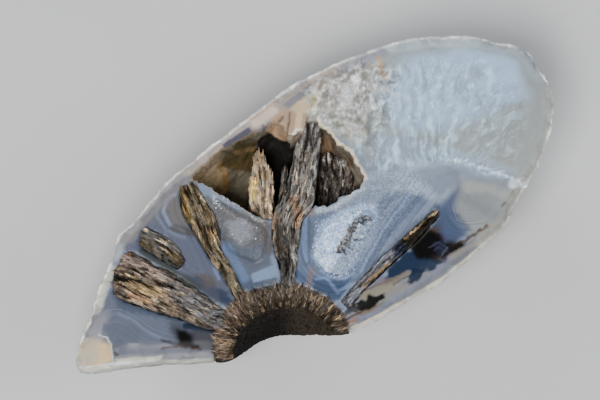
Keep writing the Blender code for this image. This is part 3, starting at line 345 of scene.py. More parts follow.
CAVITY_STROKES: tuple[Stroke, ...] = (
    patch((112, 98, 74), ((-27, 5), (-21.6, 1.6), (-18.8, 1.8), (-18.8, 9), (-21.6, 10.4), (-25, 8)), 0.6, 0.95, 0.3),
    patch((66, 62, 52), ((-19.2, 0.6), (-14.6, -2), (-13.4, 6.8), (-18.8, 7.6)), 0.7, 0.95, 0.3),
    patch((50, 42, 25), ((-20.4, 8), (-18.6, 12.6), (-12.6, 16), (-12.6, 8), (-17, 7.4)), 0.7, 0.95, 0.4),
    Stroke((92, 70, 40), ((-20.6, 10.2), (-20.4, 8.2), (-19.2, 6.6), (-19.0, 2.6)), 0.28, 0.5, 0.85),
    Stroke((92, 74, 46), ((-24.6, 5.6), (-22.4, 8.6), (-20.0, 11.4)), 0.3, 0.5, 0.8),
    Stroke((84, 66, 40), ((-18.2, 12.0), (-16.0, 11.2), (-13.4, 12.2)), 0.3, 0.5, 0.7),
    # Painted shade: near black in the deep, shaded part of the cavity
    patch((6, 4, 3), ((-12.4, 4), (-12.4, 14), (-9, 16.6), (-6, 14.4), (-3.6, 12), (-4, 4), (-7, -1)), 1.0, 0.95, 0.4),
    patch((150, 130, 106), ((-10.4, 16.4), (-7.6, 14.6), (-4.6, 13.6), (-1.8, 15.6), (0.6, 17.2), (0.2, 19.4), (-3, 17.6),
        (-5, 16.4), (-8.6, 20)), 0.6, 0.9, 0.4),
    patch((80, 66, 50), ((0, 1.6), (0.6, 17.6), (4.4, 15.2), (8.8, 11), (10.4, 6), (9, 2)), 1.0, 0.9, 0.5),
    patch((124, 102, 78), ((1.2, 11), (1.4, 16.2), (3.6, 15), (4.2, 11.4)), 0.6, 0.8, 0.4),
    patch((114, 107, 94), ((7.4, 3.4), (8.6, 8.4), (10.6, 6.2), (10.4, 4)), 0.7, 0.85, 0.4),
    patch((112, 100, 88), ((-1, -1.6), (-0.4, 1), (3.6, 1.2), (6, 2.4), (5, 0), (2, -1.4)), 0.7, 0.85, 0.4),
    patch((92, 82, 72), ((-13, -3), (-12, -0.4), (-9, -1.6), (-8, -4)), 0.7, 0.8, 0.4),
)


@dataclass(frozen=True)
class Relief:
    """A low form on the face: a line or a closed patch that stands up from it or lies below it, in mm."""

    height: float
    line: Line
    width: float = 0.4
    soft: float = 0.8
    closed: bool = False
    wander: float = 0.3


CREST = Relief(0.14, ((25.0, 9.6), (28.0, 9.9), (31.0, 9.4), (34.6, 8.1), (40.4, 6.3), (48.0, 1.6)), 0.1, 1.7, wander=1.2)
FACE_RELIEFS: tuple[Relief, ...] = (
    CREST,
    Relief(0.15, ((-23.5, 4.1), (-21.0, 1.9), (-19.0, 0.7), (-15.0, -1.9), (-12.5, -4.1), (-10.4, -4.8)), 0.2, 0.5),
    Relief(-0.3, ((-53, -40), (-50, -29.6), (-45.4, -29.9), (-42.8, -32), (-42.2, -40)), 0.0, 0.6, True, 0.15),
    Relief(-0.25, ((-47.6, -24.3), (-44.2, -23.6)), 0.1, 0.3),
    Relief(-0.3, ((-48.4, -29.6), (-46.6, -24.4), (-44.4, -18.0), (-43.2, -14.0)), 0.4, 0.9),
    Relief(0.3, ((0.8, -2.3), (4.0, -1.7), (8.0, 1.1), (10.6, 3.3)), 0.3, 0.7),
    Relief(-0.16, ((43.2, 2.8), (42.0, 0.8), (40.4, -1.2)), 0.05, 0.35),
    Relief(-0.2, ((-18.6, 12.6), (-16.0, 14.8), (-13.4, 17.2)), 0.7, 0.5),
    Relief(0.14, ((-31.4, 2.4), (-33.2, -0.2), (-33.6, -3.2), (-31.4, -6.6), (-27.6, -8.2)), 0.15, 0.8),
    Relief(-0.18, ((-13.4, -16.5), (-8.5, -14.3), (-7.5, -17), (-12.8, -18.3)), 0.0, 0.35, True, 0.1),
)


def fade(value: np.ndarray, start: float, end: float) -> np.ndarray:
    """A smooth step.

    Args:
        value: The values to place on the step.
        start: Where it is 0.
        end: Where it is 1, which may lie below the start.

    Returns:
        Shares from 0 to 1.
    """
    share = np.clip((value - start) / (end - start), 0.0, 1.0)
    return share * share * (3 - 2 * share)


def swells(grain: "Grain", chart: np.ndarray, rate: float, octaves: int, ridged: bool = False) -> np.ndarray:
    """Noise over the chart at so many swells to a mm."""
    return grain.layered(np.column_stack([chart * rate, chart[:, :1] * 0 + 8 * rate]), octaves, ridged)


def light(tone: Tone) -> np.ndarray:
    """The share of light that a surface of a tone sends back.

    Args:
        tone: Its look, 0 to 255.

    Returns:
        Its red, green and blue in linear light.
    """
    seen = np.asarray(tone, float) / 255.0
    sent = 0.183 * seen**1.16 / (1.0 - seen) ** 1.39
    return np.clip((sent - SHEEN) / STUDIO_LIGHT, 0.002, 0.93)


def on_chart(points: np.ndarray) -> np.ndarray:
    """Places on the chart, as read from the viewer's side, for points in mm."""
    return np.column_stack([points[:, 0], points[:, 1] - (FACE - points[:, 2]) * SIGHT_SLOPE]) + CHART_SHIFT


class Grain:
    """Smooth noise, the same on each run."""

    def __init__(self, seed: int) -> None:
        """Draws its tables."""
        draw = np.random.default_rng(seed)
        order = draw.permutation(256)
        self.order = np.concatenate([order, order, order])
        slopes = draw.normal(size=(256, 3))
        self.slopes = slopes / np.linalg.norm(slopes, axis=1, keepdims=True)
        self.spots = draw.random((256, 3))

    def mark(self, cell: np.ndarray) -> np.ndarray:
        """A number from 0 to 255 for each whole place."""
        x, y, z = (cell[:, k] & 255 for k in range(3))
        return self.order[self.order[self.order[x] + y] + z]

    def at(self, places: np.ndarray) -> np.ndarray:
        """One octave of noise.

        Args:
            places: Rows of three coordinates, one swell of the noise to a unit.

        Returns:
            Values from about -1 to 1.
        """
        cell = np.floor(places).astype(int)
        rest = places - cell
        ease = rest**3 * (rest * (rest * 6 - 15) + 10)
        total = np.zeros(len(places))
        for corner in np.ndindex(2, 2, 2):
            offset = np.array(corner)
            weight = np.prod(np.where(offset, ease, 1 - ease), axis=1)
            total += weight * ((rest - offset) * self.slopes[self.mark(cell + offset)]).sum(1)
        return total * 1.6

    def layered(self, places: np.ndarray, octaves: int = 4, ridged: bool = False) -> np.ndarray:
        """Several octaves of noise, each half as strong as the last.

        Args:
            places: Rows of three coordinates.
            octaves: How many.
            ridged: Whether each has sharp crests.

        Returns:
            Values from about -1 to 1.
        """
        total, size, reach = np.zeros(len(places)), 1.0, 0.0
        for k in range(octaves):
            value = self.at(places * 2.0**k + 17.3 * k)
            total += size * (1 - 3 * np.abs(value) if ridged else value)
            reach += size
            size *= 0.5
        return total / reach

    def stray(self, places: np.ndarray, wide: float = 0.22, fine: float = 0.95) -> np.ndarray:
        """Sideways moves of about 1 mm, wide bends with finer ones on them.

        Args:
            places: Rows of x and y.
            wide: Swells of the wide bends to a mm.
            fine: Swells of the finer ones.

        Returns:
            Rows of x and y.
        """
        flat = np.column_stack([places, np.zeros(len(places))])
        return np.column_stack([
            0.8 * self.layered(flat * wide + shift, 2) + 0.75 * self.layered(flat * fine + shift, 3) for shift in (3.7, 41.3)
        ])

    def cells(self, places: np.ndarray) -> tuple[np.ndarray, np.ndarray, np.ndarray]:
        """Noise of cells round scattered spots.

        Args:
            places: Rows of three coordinates, one spot to a unit cube.

        Returns:
            Distance to the nearest spot, distance to the second nearest, and a share from 0 to 1 for each cell.
        """
        cell = np.floor(places).astype(int)
        first = np.full(len(places), 9.0)
        second = np.full(len(places), 9.0)
        share = np.zeros(len(places))
        for corner in np.ndindex(3, 3, 3):
            there = cell + np.array(corner) - 1
            mark = self.mark(there)
            distance = np.linalg.norm(there + self.spots[mark] - places, axis=1)
            nearer = distance < first
            second = np.where(nearer, first, np.minimum(second, distance))
            share = np.where(nearer, mark / 255.0, share)
            first = np.where(nearer, distance, first)
        return first, second, share


def path_field(places: np.ndarray, line: Line) -> tuple[np.ndarray, np.ndarray, np.ndarray]:
    """Where places lie beside a line on the chart.

    Args:
        places: Rows of x and y.
        line: The line.

    Returns:
        Distance from the line, the same with a minus to the right of it, and the length along it.
    """
    best = np.full(len(places), 1e9)
    side = np.ones(len(places))
    along = np.zeros(len(places))
    gone = 0.0
    path = np.asarray(line, float)
    last = len(path) - 2
    for k, (a, b) in enumerate(zip(path, path[1:])):
        step = b - a
        length = float(np.hypot(*step))
        share = ((places - a) @ step) / length**2
        held = np.clip(share, 0.0, 1.0)
        away = places - a - held[:, None] * step
        distance = np.hypot(away[:, 0], away[:, 1])
        nearer = distance < best
        best = np.where(nearer, distance, best)
        side = np.where(nearer, np.where(step[0] * away[:, 1] - step[1] * away[:, 0] < 0, -1.0, 1.0), side)
        free = np.clip(share, -9.0 if k == 0 else 0.0, 9.0 if k == last else 1.0)
        along = np.where(nearer, gone + free * length, along)
        gone += length
    return best, side * best, along


def rounded(line: Line) -> np.ndarray:
    """A line with its corners cut twice."""
    path = np.asarray(line, float)
    for _ in range(2):
        near, far = 0.75 * path[:-1] + 0.25 * path[1:], 0.25 * path[:-1] + 0.75 * path[1:]
        path = np.vstack([path[:1], np.stack([near, far], axis=1).reshape(-1, 2), path[-1:]])
    return path


def headings(places: np.ndarray, line: Line) -> np.ndarray:
    """The direction of a line at the piece of it that is nearest to each place.

    Args:
        places: Rows of x and y.
        line: The line.

    Returns:
        Rows of unit directions.
    """
    path = np.asarray(line, float)
    best = np.full(len(places), 1e9)
    found = np.zeros((len(places), 2))
    for a, b in zip(path, path[1:]):
        step = b - a
        share = np.clip(((places - a) @ step) / (step @ step), 0.0, 1.0)
        distance = np.linalg.norm(places - a - share[:, None] * step, axis=1)
        nearer = distance < best
        best = np.where(nearer, distance, best)
        found[nearer] = step / np.linalg.norm(step)
    return found


def depth_inside(places: np.ndarray, border: Line) -> np.ndarray:
    """How far places lie inside a closed border.

    Args:
        places: Rows of x and y.
        border: The border.

    Returns:
        Distances, with a minus outside.
    """
    closed = (*border, border[0])
    distance = path_field(places, closed)[0]
    crossings = np.zeros(len(places), int)
    for (ax, ay), (bx, by) in zip(closed, closed[1:]):
        if ay != by:
            between = (ay > places[:, 1]) != (by > places[:, 1])
            crossings += between & (ax + (places[:, 1] - ay) / (by - ay) * (bx - ax) > places[:, 0])
    return np.where(crossings % 2 == 1, distance, -distance)


def share_of(places: np.ndarray, form: Stroke | Relief, stray: np.ndarray) -> np.ndarray:
    """How strongly a stroke or a relief is present.

    Args:
        places: Rows of x and y on the chart.
        form: The stroke or relief.
        stray: How each place is moved before it is read, for a wander of 1 mm.

    Returns:
        Shares from 0 to 1.
    """
    line = np.asarray(form.line, float)
    reach = form.width + form.soft + form.wander + 0.5
    near = np.all((places > line.min(0) - reach) & (places < line.max(0) + reach), axis=1)
    share = np.zeros(len(places))
    if near.any():
        spots = places[near] + form.wander * stray[near]
        away = -depth_inside(spots, form.line) if form.closed else path_field(spots, form.line)[0] - form.width
        start = form.soft * (0.5 if form.closed else 1.0)
        end = -0.5 * form.soft if form.closed else 0.0
        share[near] = fade(away, start, end)
    return share


class Paint:
    """Colour on the points of a mesh, laid one coat over another."""

    def __init__(self, ground: Tone, count: int) -> None:
        """Starts with one ground tone."""
        self.colour = np.tile(light(ground), (count, 1))

    def lay(self, tone: Tone, share: np.ndarray) -> None:
        """Lays a tone over part of the points."""
        self.colour += (light(tone) - self.colour) * np.clip(share, 0, 1)[:, None]

    def shade(self, factor: np.ndarray) -> None:
        """Makes the points lighter or darker by a factor."""
        self.colour *= factor[:, None]

    def strokes(self, places: np.ndarray, strokes: tuple[Stroke, ...], stray: np.ndarray) -> None:
        """Lays a list of strokes.

        Args:
            places: Rows of x and y on the chart.
            strokes: The strokes, the lowest first.
            stray: How the places are moved before they are read.
        """
        for stroke in strokes:
            self.lay(stroke.tone, share_of(places, stroke, stray) * stroke.cover)


class Mesh:
    """A piece's mesh with its points at hand in millimetres."""

    def __init__(self, name: str, data: bpy.types.Mesh) -> None:
        """Wraps a mesh and gives it an object in the scene."""
        self.data = data
        self.data.name = name
        self.obj = bpy.data.objects.new(name, data)
        bpy.context.scene.collection.objects.link(self.obj)

    def points(self) -> np.ndarray:
        """The points in millimetres."""
        flat = np.empty(len(self.data.vertices) * 3, np.float32)
        self.data.vertices.foreach_get("co", flat)
        return flat.reshape(-1, 3).astype(float) / MM

    def normals(self) -> np.ndarray:
        """The direction each point faces."""
        flat = np.empty(len(self.data.vertices) * 3, np.float32)
        self.data.vertex_normals.foreach_get("vector", flat)
        return flat.reshape(-1, 3).astype(float)

    def move(self, points: np.ndarray) -> None:
        """Puts the points at new places in millimetres."""
        self.data.vertices.foreach_set("co", (points * MM).astype(np.float32).ravel())
        self.data.update()

    def keep(self, name: str, values: np.ndarray) -> None:
        """Stores a number, a direction or a colour for each point.

        Args:
            name: The attribute's name.
            values: One row for each point; four columns make a colour.
        """
        kind, field = {1: ("FLOAT", "value"), 3: ("FLOAT_VECTOR", "vector"), 4: ("FLOAT_COLOR", "color")}[
            1 if values.ndim == 1 else values.shape[1]
        ]
        attribute = self.data.attributes.new(name, kind, "POINT")
        attribute.data.foreach_set(field, values.astype(np.float32).ravel())

    def paint(self, paint: Paint) -> None:
        """Stores a paint as the colour attribute of the piece."""
        colour = np.clip(paint.colour, 0.001, 0.95)
        self.keep("paint", np.column_stack([colour, np.ones(len(colour))]))

    def triangles(self) -> int:
        """How many triangles it has."""
        return sum(len(face.vertices) - 2 for face in self.data.polygons)


def baked(obj: bpy.types.Object) -> bpy.types.Mesh:
    """The mesh of an object with its modifiers applied.

    Args:
        obj: The object.

    Returns:
        A new mesh.
    """
    bpy.context.view_layer.update()
    graph = bpy.context.evaluated_depsgraph_get()
    return bpy.data.meshes.new_from_object(obj.evaluated_get(graph), preserve_all_data_layers=True, depsgraph=graph)


def blank_from(node: bpy.types.Object, voxel: float, name: str, smooth: int = 2) -> Mesh:
    """An even, finely divided copy of a solid.

    Args:
        node: The solid, which stays as it is.
        voxel: The size of the new faces in mm.
        name: The new piece's name.
        smooth: How often the steps of the new faces are smoothed.

    Returns:
        The copy.
    """
    copy = bmesh.new()
    copy.from_mesh(node.data)
    bmesh.ops.remove_doubles(copy, verts=copy.verts, dist=0.000002)
    bmesh.ops.recalc_face_normals(copy, faces=copy.faces)
    data = bpy.data.meshes.new(f"{name}_merged")
    copy.to_mesh(data)
    copy.free()
    merged = bpy.data.objects.new(f"{name}_merged", data)
    bpy.context.scene.collection.objects.link(merged)
    remesh = merged.modifiers.new("even faces", "REMESH")
    remesh.mode = "VOXEL"
    remesh.voxel_size = voxel * MM
    remesh.use_smooth_shade = True
    relax = merged.modifiers.new("relax", "SMOOTH")
    relax.factor = 0.5
    relax.iterations = smooth
    made = Mesh(name, baked(merged))
    bpy.data.objects.remove(merged)
    made.data.materials.clear()
    for attribute in [a.name for a in made.data.attributes if a.name in ("sharp_face", "sharp_edge")]:
        made.data.attributes.remove(made.data.attributes[attribute])
    made.data.shade_smooth()
    return made


class Bench:
    """Puts together one node material."""

    def __init__(self, name: str) -> None:
        """Starts a material with its shader."""
        self.material = bpy.data.materials.new(name)
        self.material.use_nodes = True
        self.tree = self.material.node_tree
        self.shader = next(n for n in self.tree.nodes if n.type == "BSDF_PRINCIPLED")

    def node(self, kind: str, **settings: object) -> bpy.types.Node:
        """A new node with its settings."""
        made = self.tree.nodes.new(kind)
        for key, value in settings.items():
            setattr(made, key, value)
        return made

    def feed(self, socket: Socket, value: object) -> None:
        """Links a socket, or sets its number or colour."""
        if isinstance(value, Socket):
            self.tree.links.new(value, socket)
        else:
            socket.default_value = value

    def attribute(self, name: str, output: str = "Fac") -> Socket:
        """The piece's own attribute of that name."""
        return self.node("ShaderNodeAttribute", attribute_name=name).outputs[output]

    def place(self) -> Socket:
        """Object coordinates in millimetres."""
        coordinate = self.node("ShaderNodeTexCoord")
        return self.stretch(coordinate.outputs["Object"], (1 / MM, 1 / MM, 1 / MM))

    def stretch(self, vector: Socket, scale: tuple[float, float, float]) -> Socket:
        """A vector with each part scaled."""
        made = self.node("ShaderNodeVectorMath", operation="MULTIPLY")
        self.feed(made.inputs[0], vector)
        self.feed(made.inputs[1], scale)
        return made.outputs[0]

    def sum(self, operation: str, a: object, b: object = 0.0, clamp: bool = False) -> Socket:
        """A Math node of one or two values."""
        made = self.node("ShaderNodeMath", operation=operation, use_clamp=clamp)
        self.feed(made.inputs[0], a)
        self.feed(made.inputs[1], b)
        return made.outputs[0]

    def add(self, total: object, value: object, weight: object) -> Socket:
        """A total plus a value times a weight."""
        made = self.node("ShaderNodeMath", operation="MULTIPLY_ADD")
        for socket, given in zip(made.inputs, (value, weight, total)):
            self.feed(socket, given)
        return made.outputs[0]

    def ramp(self, value: object, low: float, high: float, to_low: float = 0.0, to_high: float = 1.0) -> Socket:
        """A value moved from one range to another and held there.

        Args:
            value: The value.
            low: Start of the first range.
            high: End of the first range.
            to_low: Start of the second range.
            to_high: End of the second range.

        Returns:
            The moved value.
        """
        made = self.node("ShaderNodeMapRange", interpolation_type="SMOOTHSTEP")
        for socket, given in zip(made.inputs, (value, low, high, to_low, to_high)):
            self.feed(socket, given)
        return made.outputs[0]

    def noise(self, vector: Socket, scale: float, detail: float = 3.0, roughness: float = 0.55,
              bend: float = 0.0) -> Socket:
        """A Noise Texture.

        Args:
            vector: Where it is read.
            scale: Swells to a unit.
            detail: Its finer octaves.
            roughness: How strong those are.
            bend: How far it is distorted.

        Returns:
            Its value, 0 to 1.
        """
        made = self.node("ShaderNodeTexNoise")
        self.feed(made.inputs["Vector"], vector)
        for name, given in (("Scale", scale), ("Detail", detail), ("Roughness", roughness), ("Distortion", bend)):
            self.feed(made.inputs[name], given)
        return made.outputs[0]

    def cells(self, vector: Socket, scale: float, output: str = "Distance",
              feature: str = "F1") -> Socket:
        """A Voronoi Texture's value."""
        made = self.node("ShaderNodeTexVoronoi", feature=feature)
        self.feed(made.inputs["Vector"], vector)
        self.feed(made.inputs["Scale"], scale)
        return made.outputs[output]

    def mix(self, share: object, under: object, over: object, blend: str = "MIX") -> Socket:
        """Two colours mixed.

        Args:
            share: How much of the second.
            under: The first.
            over: The second.
            blend: How they are mixed.

        Returns:
            The colour.
        """
        made = self.node("ShaderNodeMix", data_type="RGBA", blend_type=blend)
        self.feed(made.inputs[0], share)
        self.feed(made.inputs[6], under)
        self.feed(made.inputs[7], over)
        return made.outputs[2]

    def lighten(self, colour: object, factor: Socket) -> Socket:
        """A colour times a number."""
        made = self.node("ShaderNodeVectorMath", operation="SCALE")
        self.feed(made.inputs[0], colour)
        self.feed(made.inputs["Scale"], factor)
        return made.outputs[0]

    def bump(self, height: Socket, depth: float, strength: float = 1.0) -> None:
        """Roughens the surface by a height in mm."""
        made = self.node("ShaderNodeBump")
        made.inputs["Strength"].default_value = strength
        made.inputs["Distance"].default_value = depth * MM
        self.feed(made.inputs["Height"], height)
        self.tree.links.new(made.outputs[0], self.shader.inputs["Normal"])

    def finish(self, colour: Socket, roughness: object, **constants: object) -> bpy.types.Material:
        """Feeds the shader.

        Args:
            colour: Its base colour.
            roughness: A number or a socket.
            constants: Its other sockets by name, with _ for a space, each one value.

        Returns:
            The material.
        """
        self.feed(self.shader.inputs["Base Color"], colour)
        self.feed(self.shader.inputs["Roughness"], roughness)
        for name, value in constants.items():
            self.feed(self.shader.inputs[name.replace("_", " ")], value)
        return self.material


@dataclass(frozen=True)
class ChalcedonyFinish:
    """Chalcedony: banded, milky and a little translucent, dull where it is druse or skin."""

    name: str = "banded_chalcedony"
    band_depth: float = 0.52
    plume_depth: float = 0.42
    cloudiness: float = 0.22
    glow: float = 0.2
    glow_reach: tuple[float, float, float] = (1.0, 0.9, 0.8)

    def material(self) -> bpy.types.Material:
        """The node material."""
        bench = Bench(self.name)
        place = bench.place()
        # Fine bands along the band coordinate
        phase = bench.sum("ADD", bench.attribute("bands"), bench.sum("MULTIPLY", bench.noise(place, 0.35, 3.0), 1.1))
        fine = bench.node("ShaderNodeTexNoise", noise_dimensions="1D")
        for name, given in (("Scale", 1.15), ("Detail", 5.0), ("Roughness", 0.72), ("W", phase)):
            bench.feed(fine.inputs[name], given)
        lines = bench.sum("SUBTRACT", fine.outputs[0], 0.5)
        # Feathery streaks of the plumes, the curls beside the cavity and the crest
        ray = bench.attribute("plume", "Vector")
        clouds = bench.ramp(bench.noise(bench.stretch(ray, (0.30, 0.14, 1.0)), 1.0, 2.0, 0.5, 0.6), 0.34, 0.62, 0.25)
        feathers = bench.ramp(bench.noise(bench.stretch(ray, (2.1, 0.5, 1.0)), 1.0, 5.0, 0.72, 0.25), 0.47, 0.64, -0.3)
        feathers = bench.sum("MULTIPLY", feathers, clouds)
        curls = bench.ramp(bench.noise(bench.stretch(ray, (1.0, 0.5, 1.0)), 1.0, 5.0, 0.72, 0.9), 0.40, 0.66, -0.9)
        crest = bench.ramp(bench.noise(bench.stretch(ray, (1.1, 0.5, 1.0)), 1.0, 4.0, 0.7, 0.9), 0.42, 0.60, -0.8)
        streaks = bench.add(0.0, feathers, bench.attribute("plumes"))
        streaks = bench.add(bench.add(streaks, curls, bench.attribute("curls")), crest, bench.attribute("crest"))
        # Sugary grains of druse, chips along the rim, and a faint cloudiness all over
        druse = bench.attribute("druse")
        grain = bench.node("ShaderNodeSeparateColor")
        bench.feed(grain.inputs[0], bench.cells(place, 3.6, "Color"))
        chip = bench.node("ShaderNodeSeparateColor")
        bench.feed(chip.inputs[0], bench.cells(place, 0.55, "Color"))
        total = bench.add(1.0, lines, bench.sum("MULTIPLY", bench.attribute("banding"), self.band_depth * 2.6))
        total = bench.add(total, streaks, self.plume_depth)
        total = bench.add(total, bench.sum("SUBTRACT", grain.outputs[0], 0.45), bench.sum("MULTIPLY", druse, 0.75))
        total = bench.add(total, bench.sum("SUBTRACT", chip.outputs[0], 0.5), bench.sum("MULTIPLY", bench.attribute("edge"), 0.4))
        total = bench.add(total, bench.sum("SUBTRACT", bench.noise(place, 0.9, 5.0, 0.65), 0.5), self.cloudiness)
        colour = bench.lighten(bench.attribute("paint", "Color"), total)
        relief = bench.add(bench.sum("MULTIPLY", streaks, 0.4), bench.cells(place, 2.4), druse)
        relief = bench.add(relief, bench.noise(place, 3.2, 3.0), bench.attribute("skin"))
        relief = bench.add(relief, chip.outputs[1], bench.sum("MULTIPLY", bench.attribute("edge"), 0.5))
        bench.bump(bench.add(relief, bench.noise(place, 0.8, 2.0), 0.12), 0.22, 0.8)
        return bench.finish(colour, bench.attribute("dull"), Subsurface_Weight=self.glow,
                            Subsurface_Radius=self.glow_reach, Subsurface_Scale=0.5 * MM, IOR=1.54,
                            Specular_IOR_Level=bench.ramp(bench.attribute("paint", "Color"), 0.0, 0.05, 0.14, 0.4))


@dataclass(frozen=True)
class WoodFinish:
    """Old silicified wood: long chips, each its own tone, with dark cracks and pits between."""

    name: str
    contrast: float = 0.5
    dull: float = 0.7
    chip: tuple[float, float, float] = (0.7, 2.0, 1.3)
    splinter: tuple[float, float, float] = (1.9, 4.6, 2.8)

    def material(self) -> bpy.types.Material:
        """The node material."""
        bench = Bench(self.name)
        grain = bench.attribute("grain", "Vector")
        stray = bench.node("ShaderNodeTexNoise")
        bench.feed(stray.inputs["Vector"], bench.stretch(grain, (0.5, 0.9, 0.9)))
        bent = bench.node("ShaderNodeVectorMath", operation="ADD")
        bench.feed(bent.inputs[0], grain)
        bench.feed(bent.inputs[1], bench.stretch(stray.outputs["Color"], (2.2, 0.9, 0.9)))
        large = bench.node("ShaderNodeSeparateColor")
        bench.feed(large.inputs[0], bench.cells(bench.stretch(bent.outputs[0], self.chip), 1.0, "Color"))
        small = bench.node("ShaderNodeSeparateColor")
        bench.feed(small.inputs[0], bench.cells(bench.stretch(bent.outputs[0], self.splinter), 1.0, "Color"))
        seam = bench.cells(bench.stretch(bent.outputs[0], self.chip), 1.0, "Distance", "DISTANCE_TO_EDGE")
        fine = bench.noise(bench.stretch(grain, (1.4, 3.4, 2.2)), 1.0, 4.0, 0.7, 0.4)
        pits = bench.noise(bench.stretch(bent.outputs[0], (1.2, 2.2, 1.6)), 1.0, 3.0, 0.6, 0.5)
        low, high = 1 - 0.45 * self.contrast, 1 + 0.5 * self.contrast
        value = bench.sum("MULTIPLY", bench.ramp(large.outputs[0], 0.0, 1.0, low, high),
                          bench.ramp(small.outputs[0], 0.0, 1.0, low, high))
        value = bench.sum("MULTIPLY", value, bench.ramp(fine, 0.34, 0.66, 0.7, 1.4))
        colour = bench.lighten(bench.attribute("paint", "Color"), value)
        colour = bench.mix(bench.ramp(small.outputs[1], 0.55, 0.95, 0.0, 0.7), colour, (1.0, 0.94, 0.82, 1.0), "MULTIPLY")
        colour = bench.mix(bench.ramp(large.outputs[2], 0.6, 0.9, 0.0, 0.6), colour, (0.80, 0.88, 1.0, 1.0), "MULTIPLY")
        crack = bench.sum("ADD", bench.ramp(seam, 0.10, 0.0, 0.0, 0.9), bench.ramp(pits, 0.40, 0.33), clamp=True)
        crack = bench.sum("MULTIPLY", crack, bench.attribute("worn"))
        crack = bench.sum("ADD", crack, bench.attribute("crack"), clamp=True)
        colour = bench.mix(bench.sum("MULTIPLY", crack, 0.9), colour, (0.010, 0.008, 0.006, 1.0))
        relief = bench.sum("ADD", bench.sum("MULTIPLY", small.outputs[0], 0.5), bench.sum("MULTIPLY", fine, 0.8))
        bench.bump(bench.sum("SUBTRACT", relief, crack), 0.3, 0.9)
        return bench.finish(colour, bench.ramp(fine, 0.3, 0.7, self.dull + 0.14, self.dull - 0.1), IOR=1.5,
                            Specular_IOR_Level=0.1)


@dataclass(frozen=True)
class CrystalFinish:
    """Clear to white quartz points with bright facets."""

    name: str = "quartz_druse"
    pale: Tone = (206, 214, 222)
    deep: Tone = (120, 134, 152)
    glow: float = 0.3

    def material(self) -> bpy.types.Material:
        """The node material."""
        bench = Bench(self.name)
        place = bench.place()
        paint = bench.attribute("paint", "Color")
        split = bench.node("ShaderNodeSeparateColor")
        bench.feed(split.inputs[0], bench.cells(place, 2.3, "Color"))
        value = bench.ramp(split.outputs[0], 0.0, 1.0, 0.72, 1.18)
        colour = bench.lighten(paint, value)
        frost = bench.ramp(bench.noise(place, 1.7, 2.0), 0.42, 0.7)
        colour = bench.mix(bench.sum("MULTIPLY", frost, 0.35), colour, (*light(self.pale), 1.0))
        bench.bump(bench.noise(place, 6.0, 2.0), 0.06, 0.5)
        return bench.finish(colour, bench.ramp(split.outputs[1], 0.0, 1.0, 0.12, 0.4), Subsurface_Weight=self.glow,
                            Subsurface_Radius=(1.0, 1.0, 1.0), Subsurface_Scale=0.4 * MM, IOR=1.54)


@dataclass(frozen=True)
class FloorFinish:
    """A plain pale matt floor."""

    name: str = "pale_floor"

    def material(self) -> bpy.types.Material:
        """The node material."""
        bench = Bench(self.name)
        haze = bench.ramp(bench.noise(bench.place(), 0.02, 2.0), 0.3, 0.7, 0.985, 1.015)
        return bench.finish(bench.lighten((0.60, 0.605, 0.61), haze), 0.75)


def place_piece(mesh: Mesh, material: bpy.types.Material, node: str | None = None) -> None:
    """Gives a piece its finish and its place in the model.

    Args:
        mesh: The piece.
        material: Its finish.
        node: The solid that it stands for, if any.
    """
    if material.name not in mesh.data.materials:
        mesh.data.materials.clear()
        mesh.data.materials.append(material)
    if node:
        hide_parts(node)
    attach(mesh.obj, "root")
    LOG.info("%s: %d triangles", mesh.obj.name, mesh.triangles())


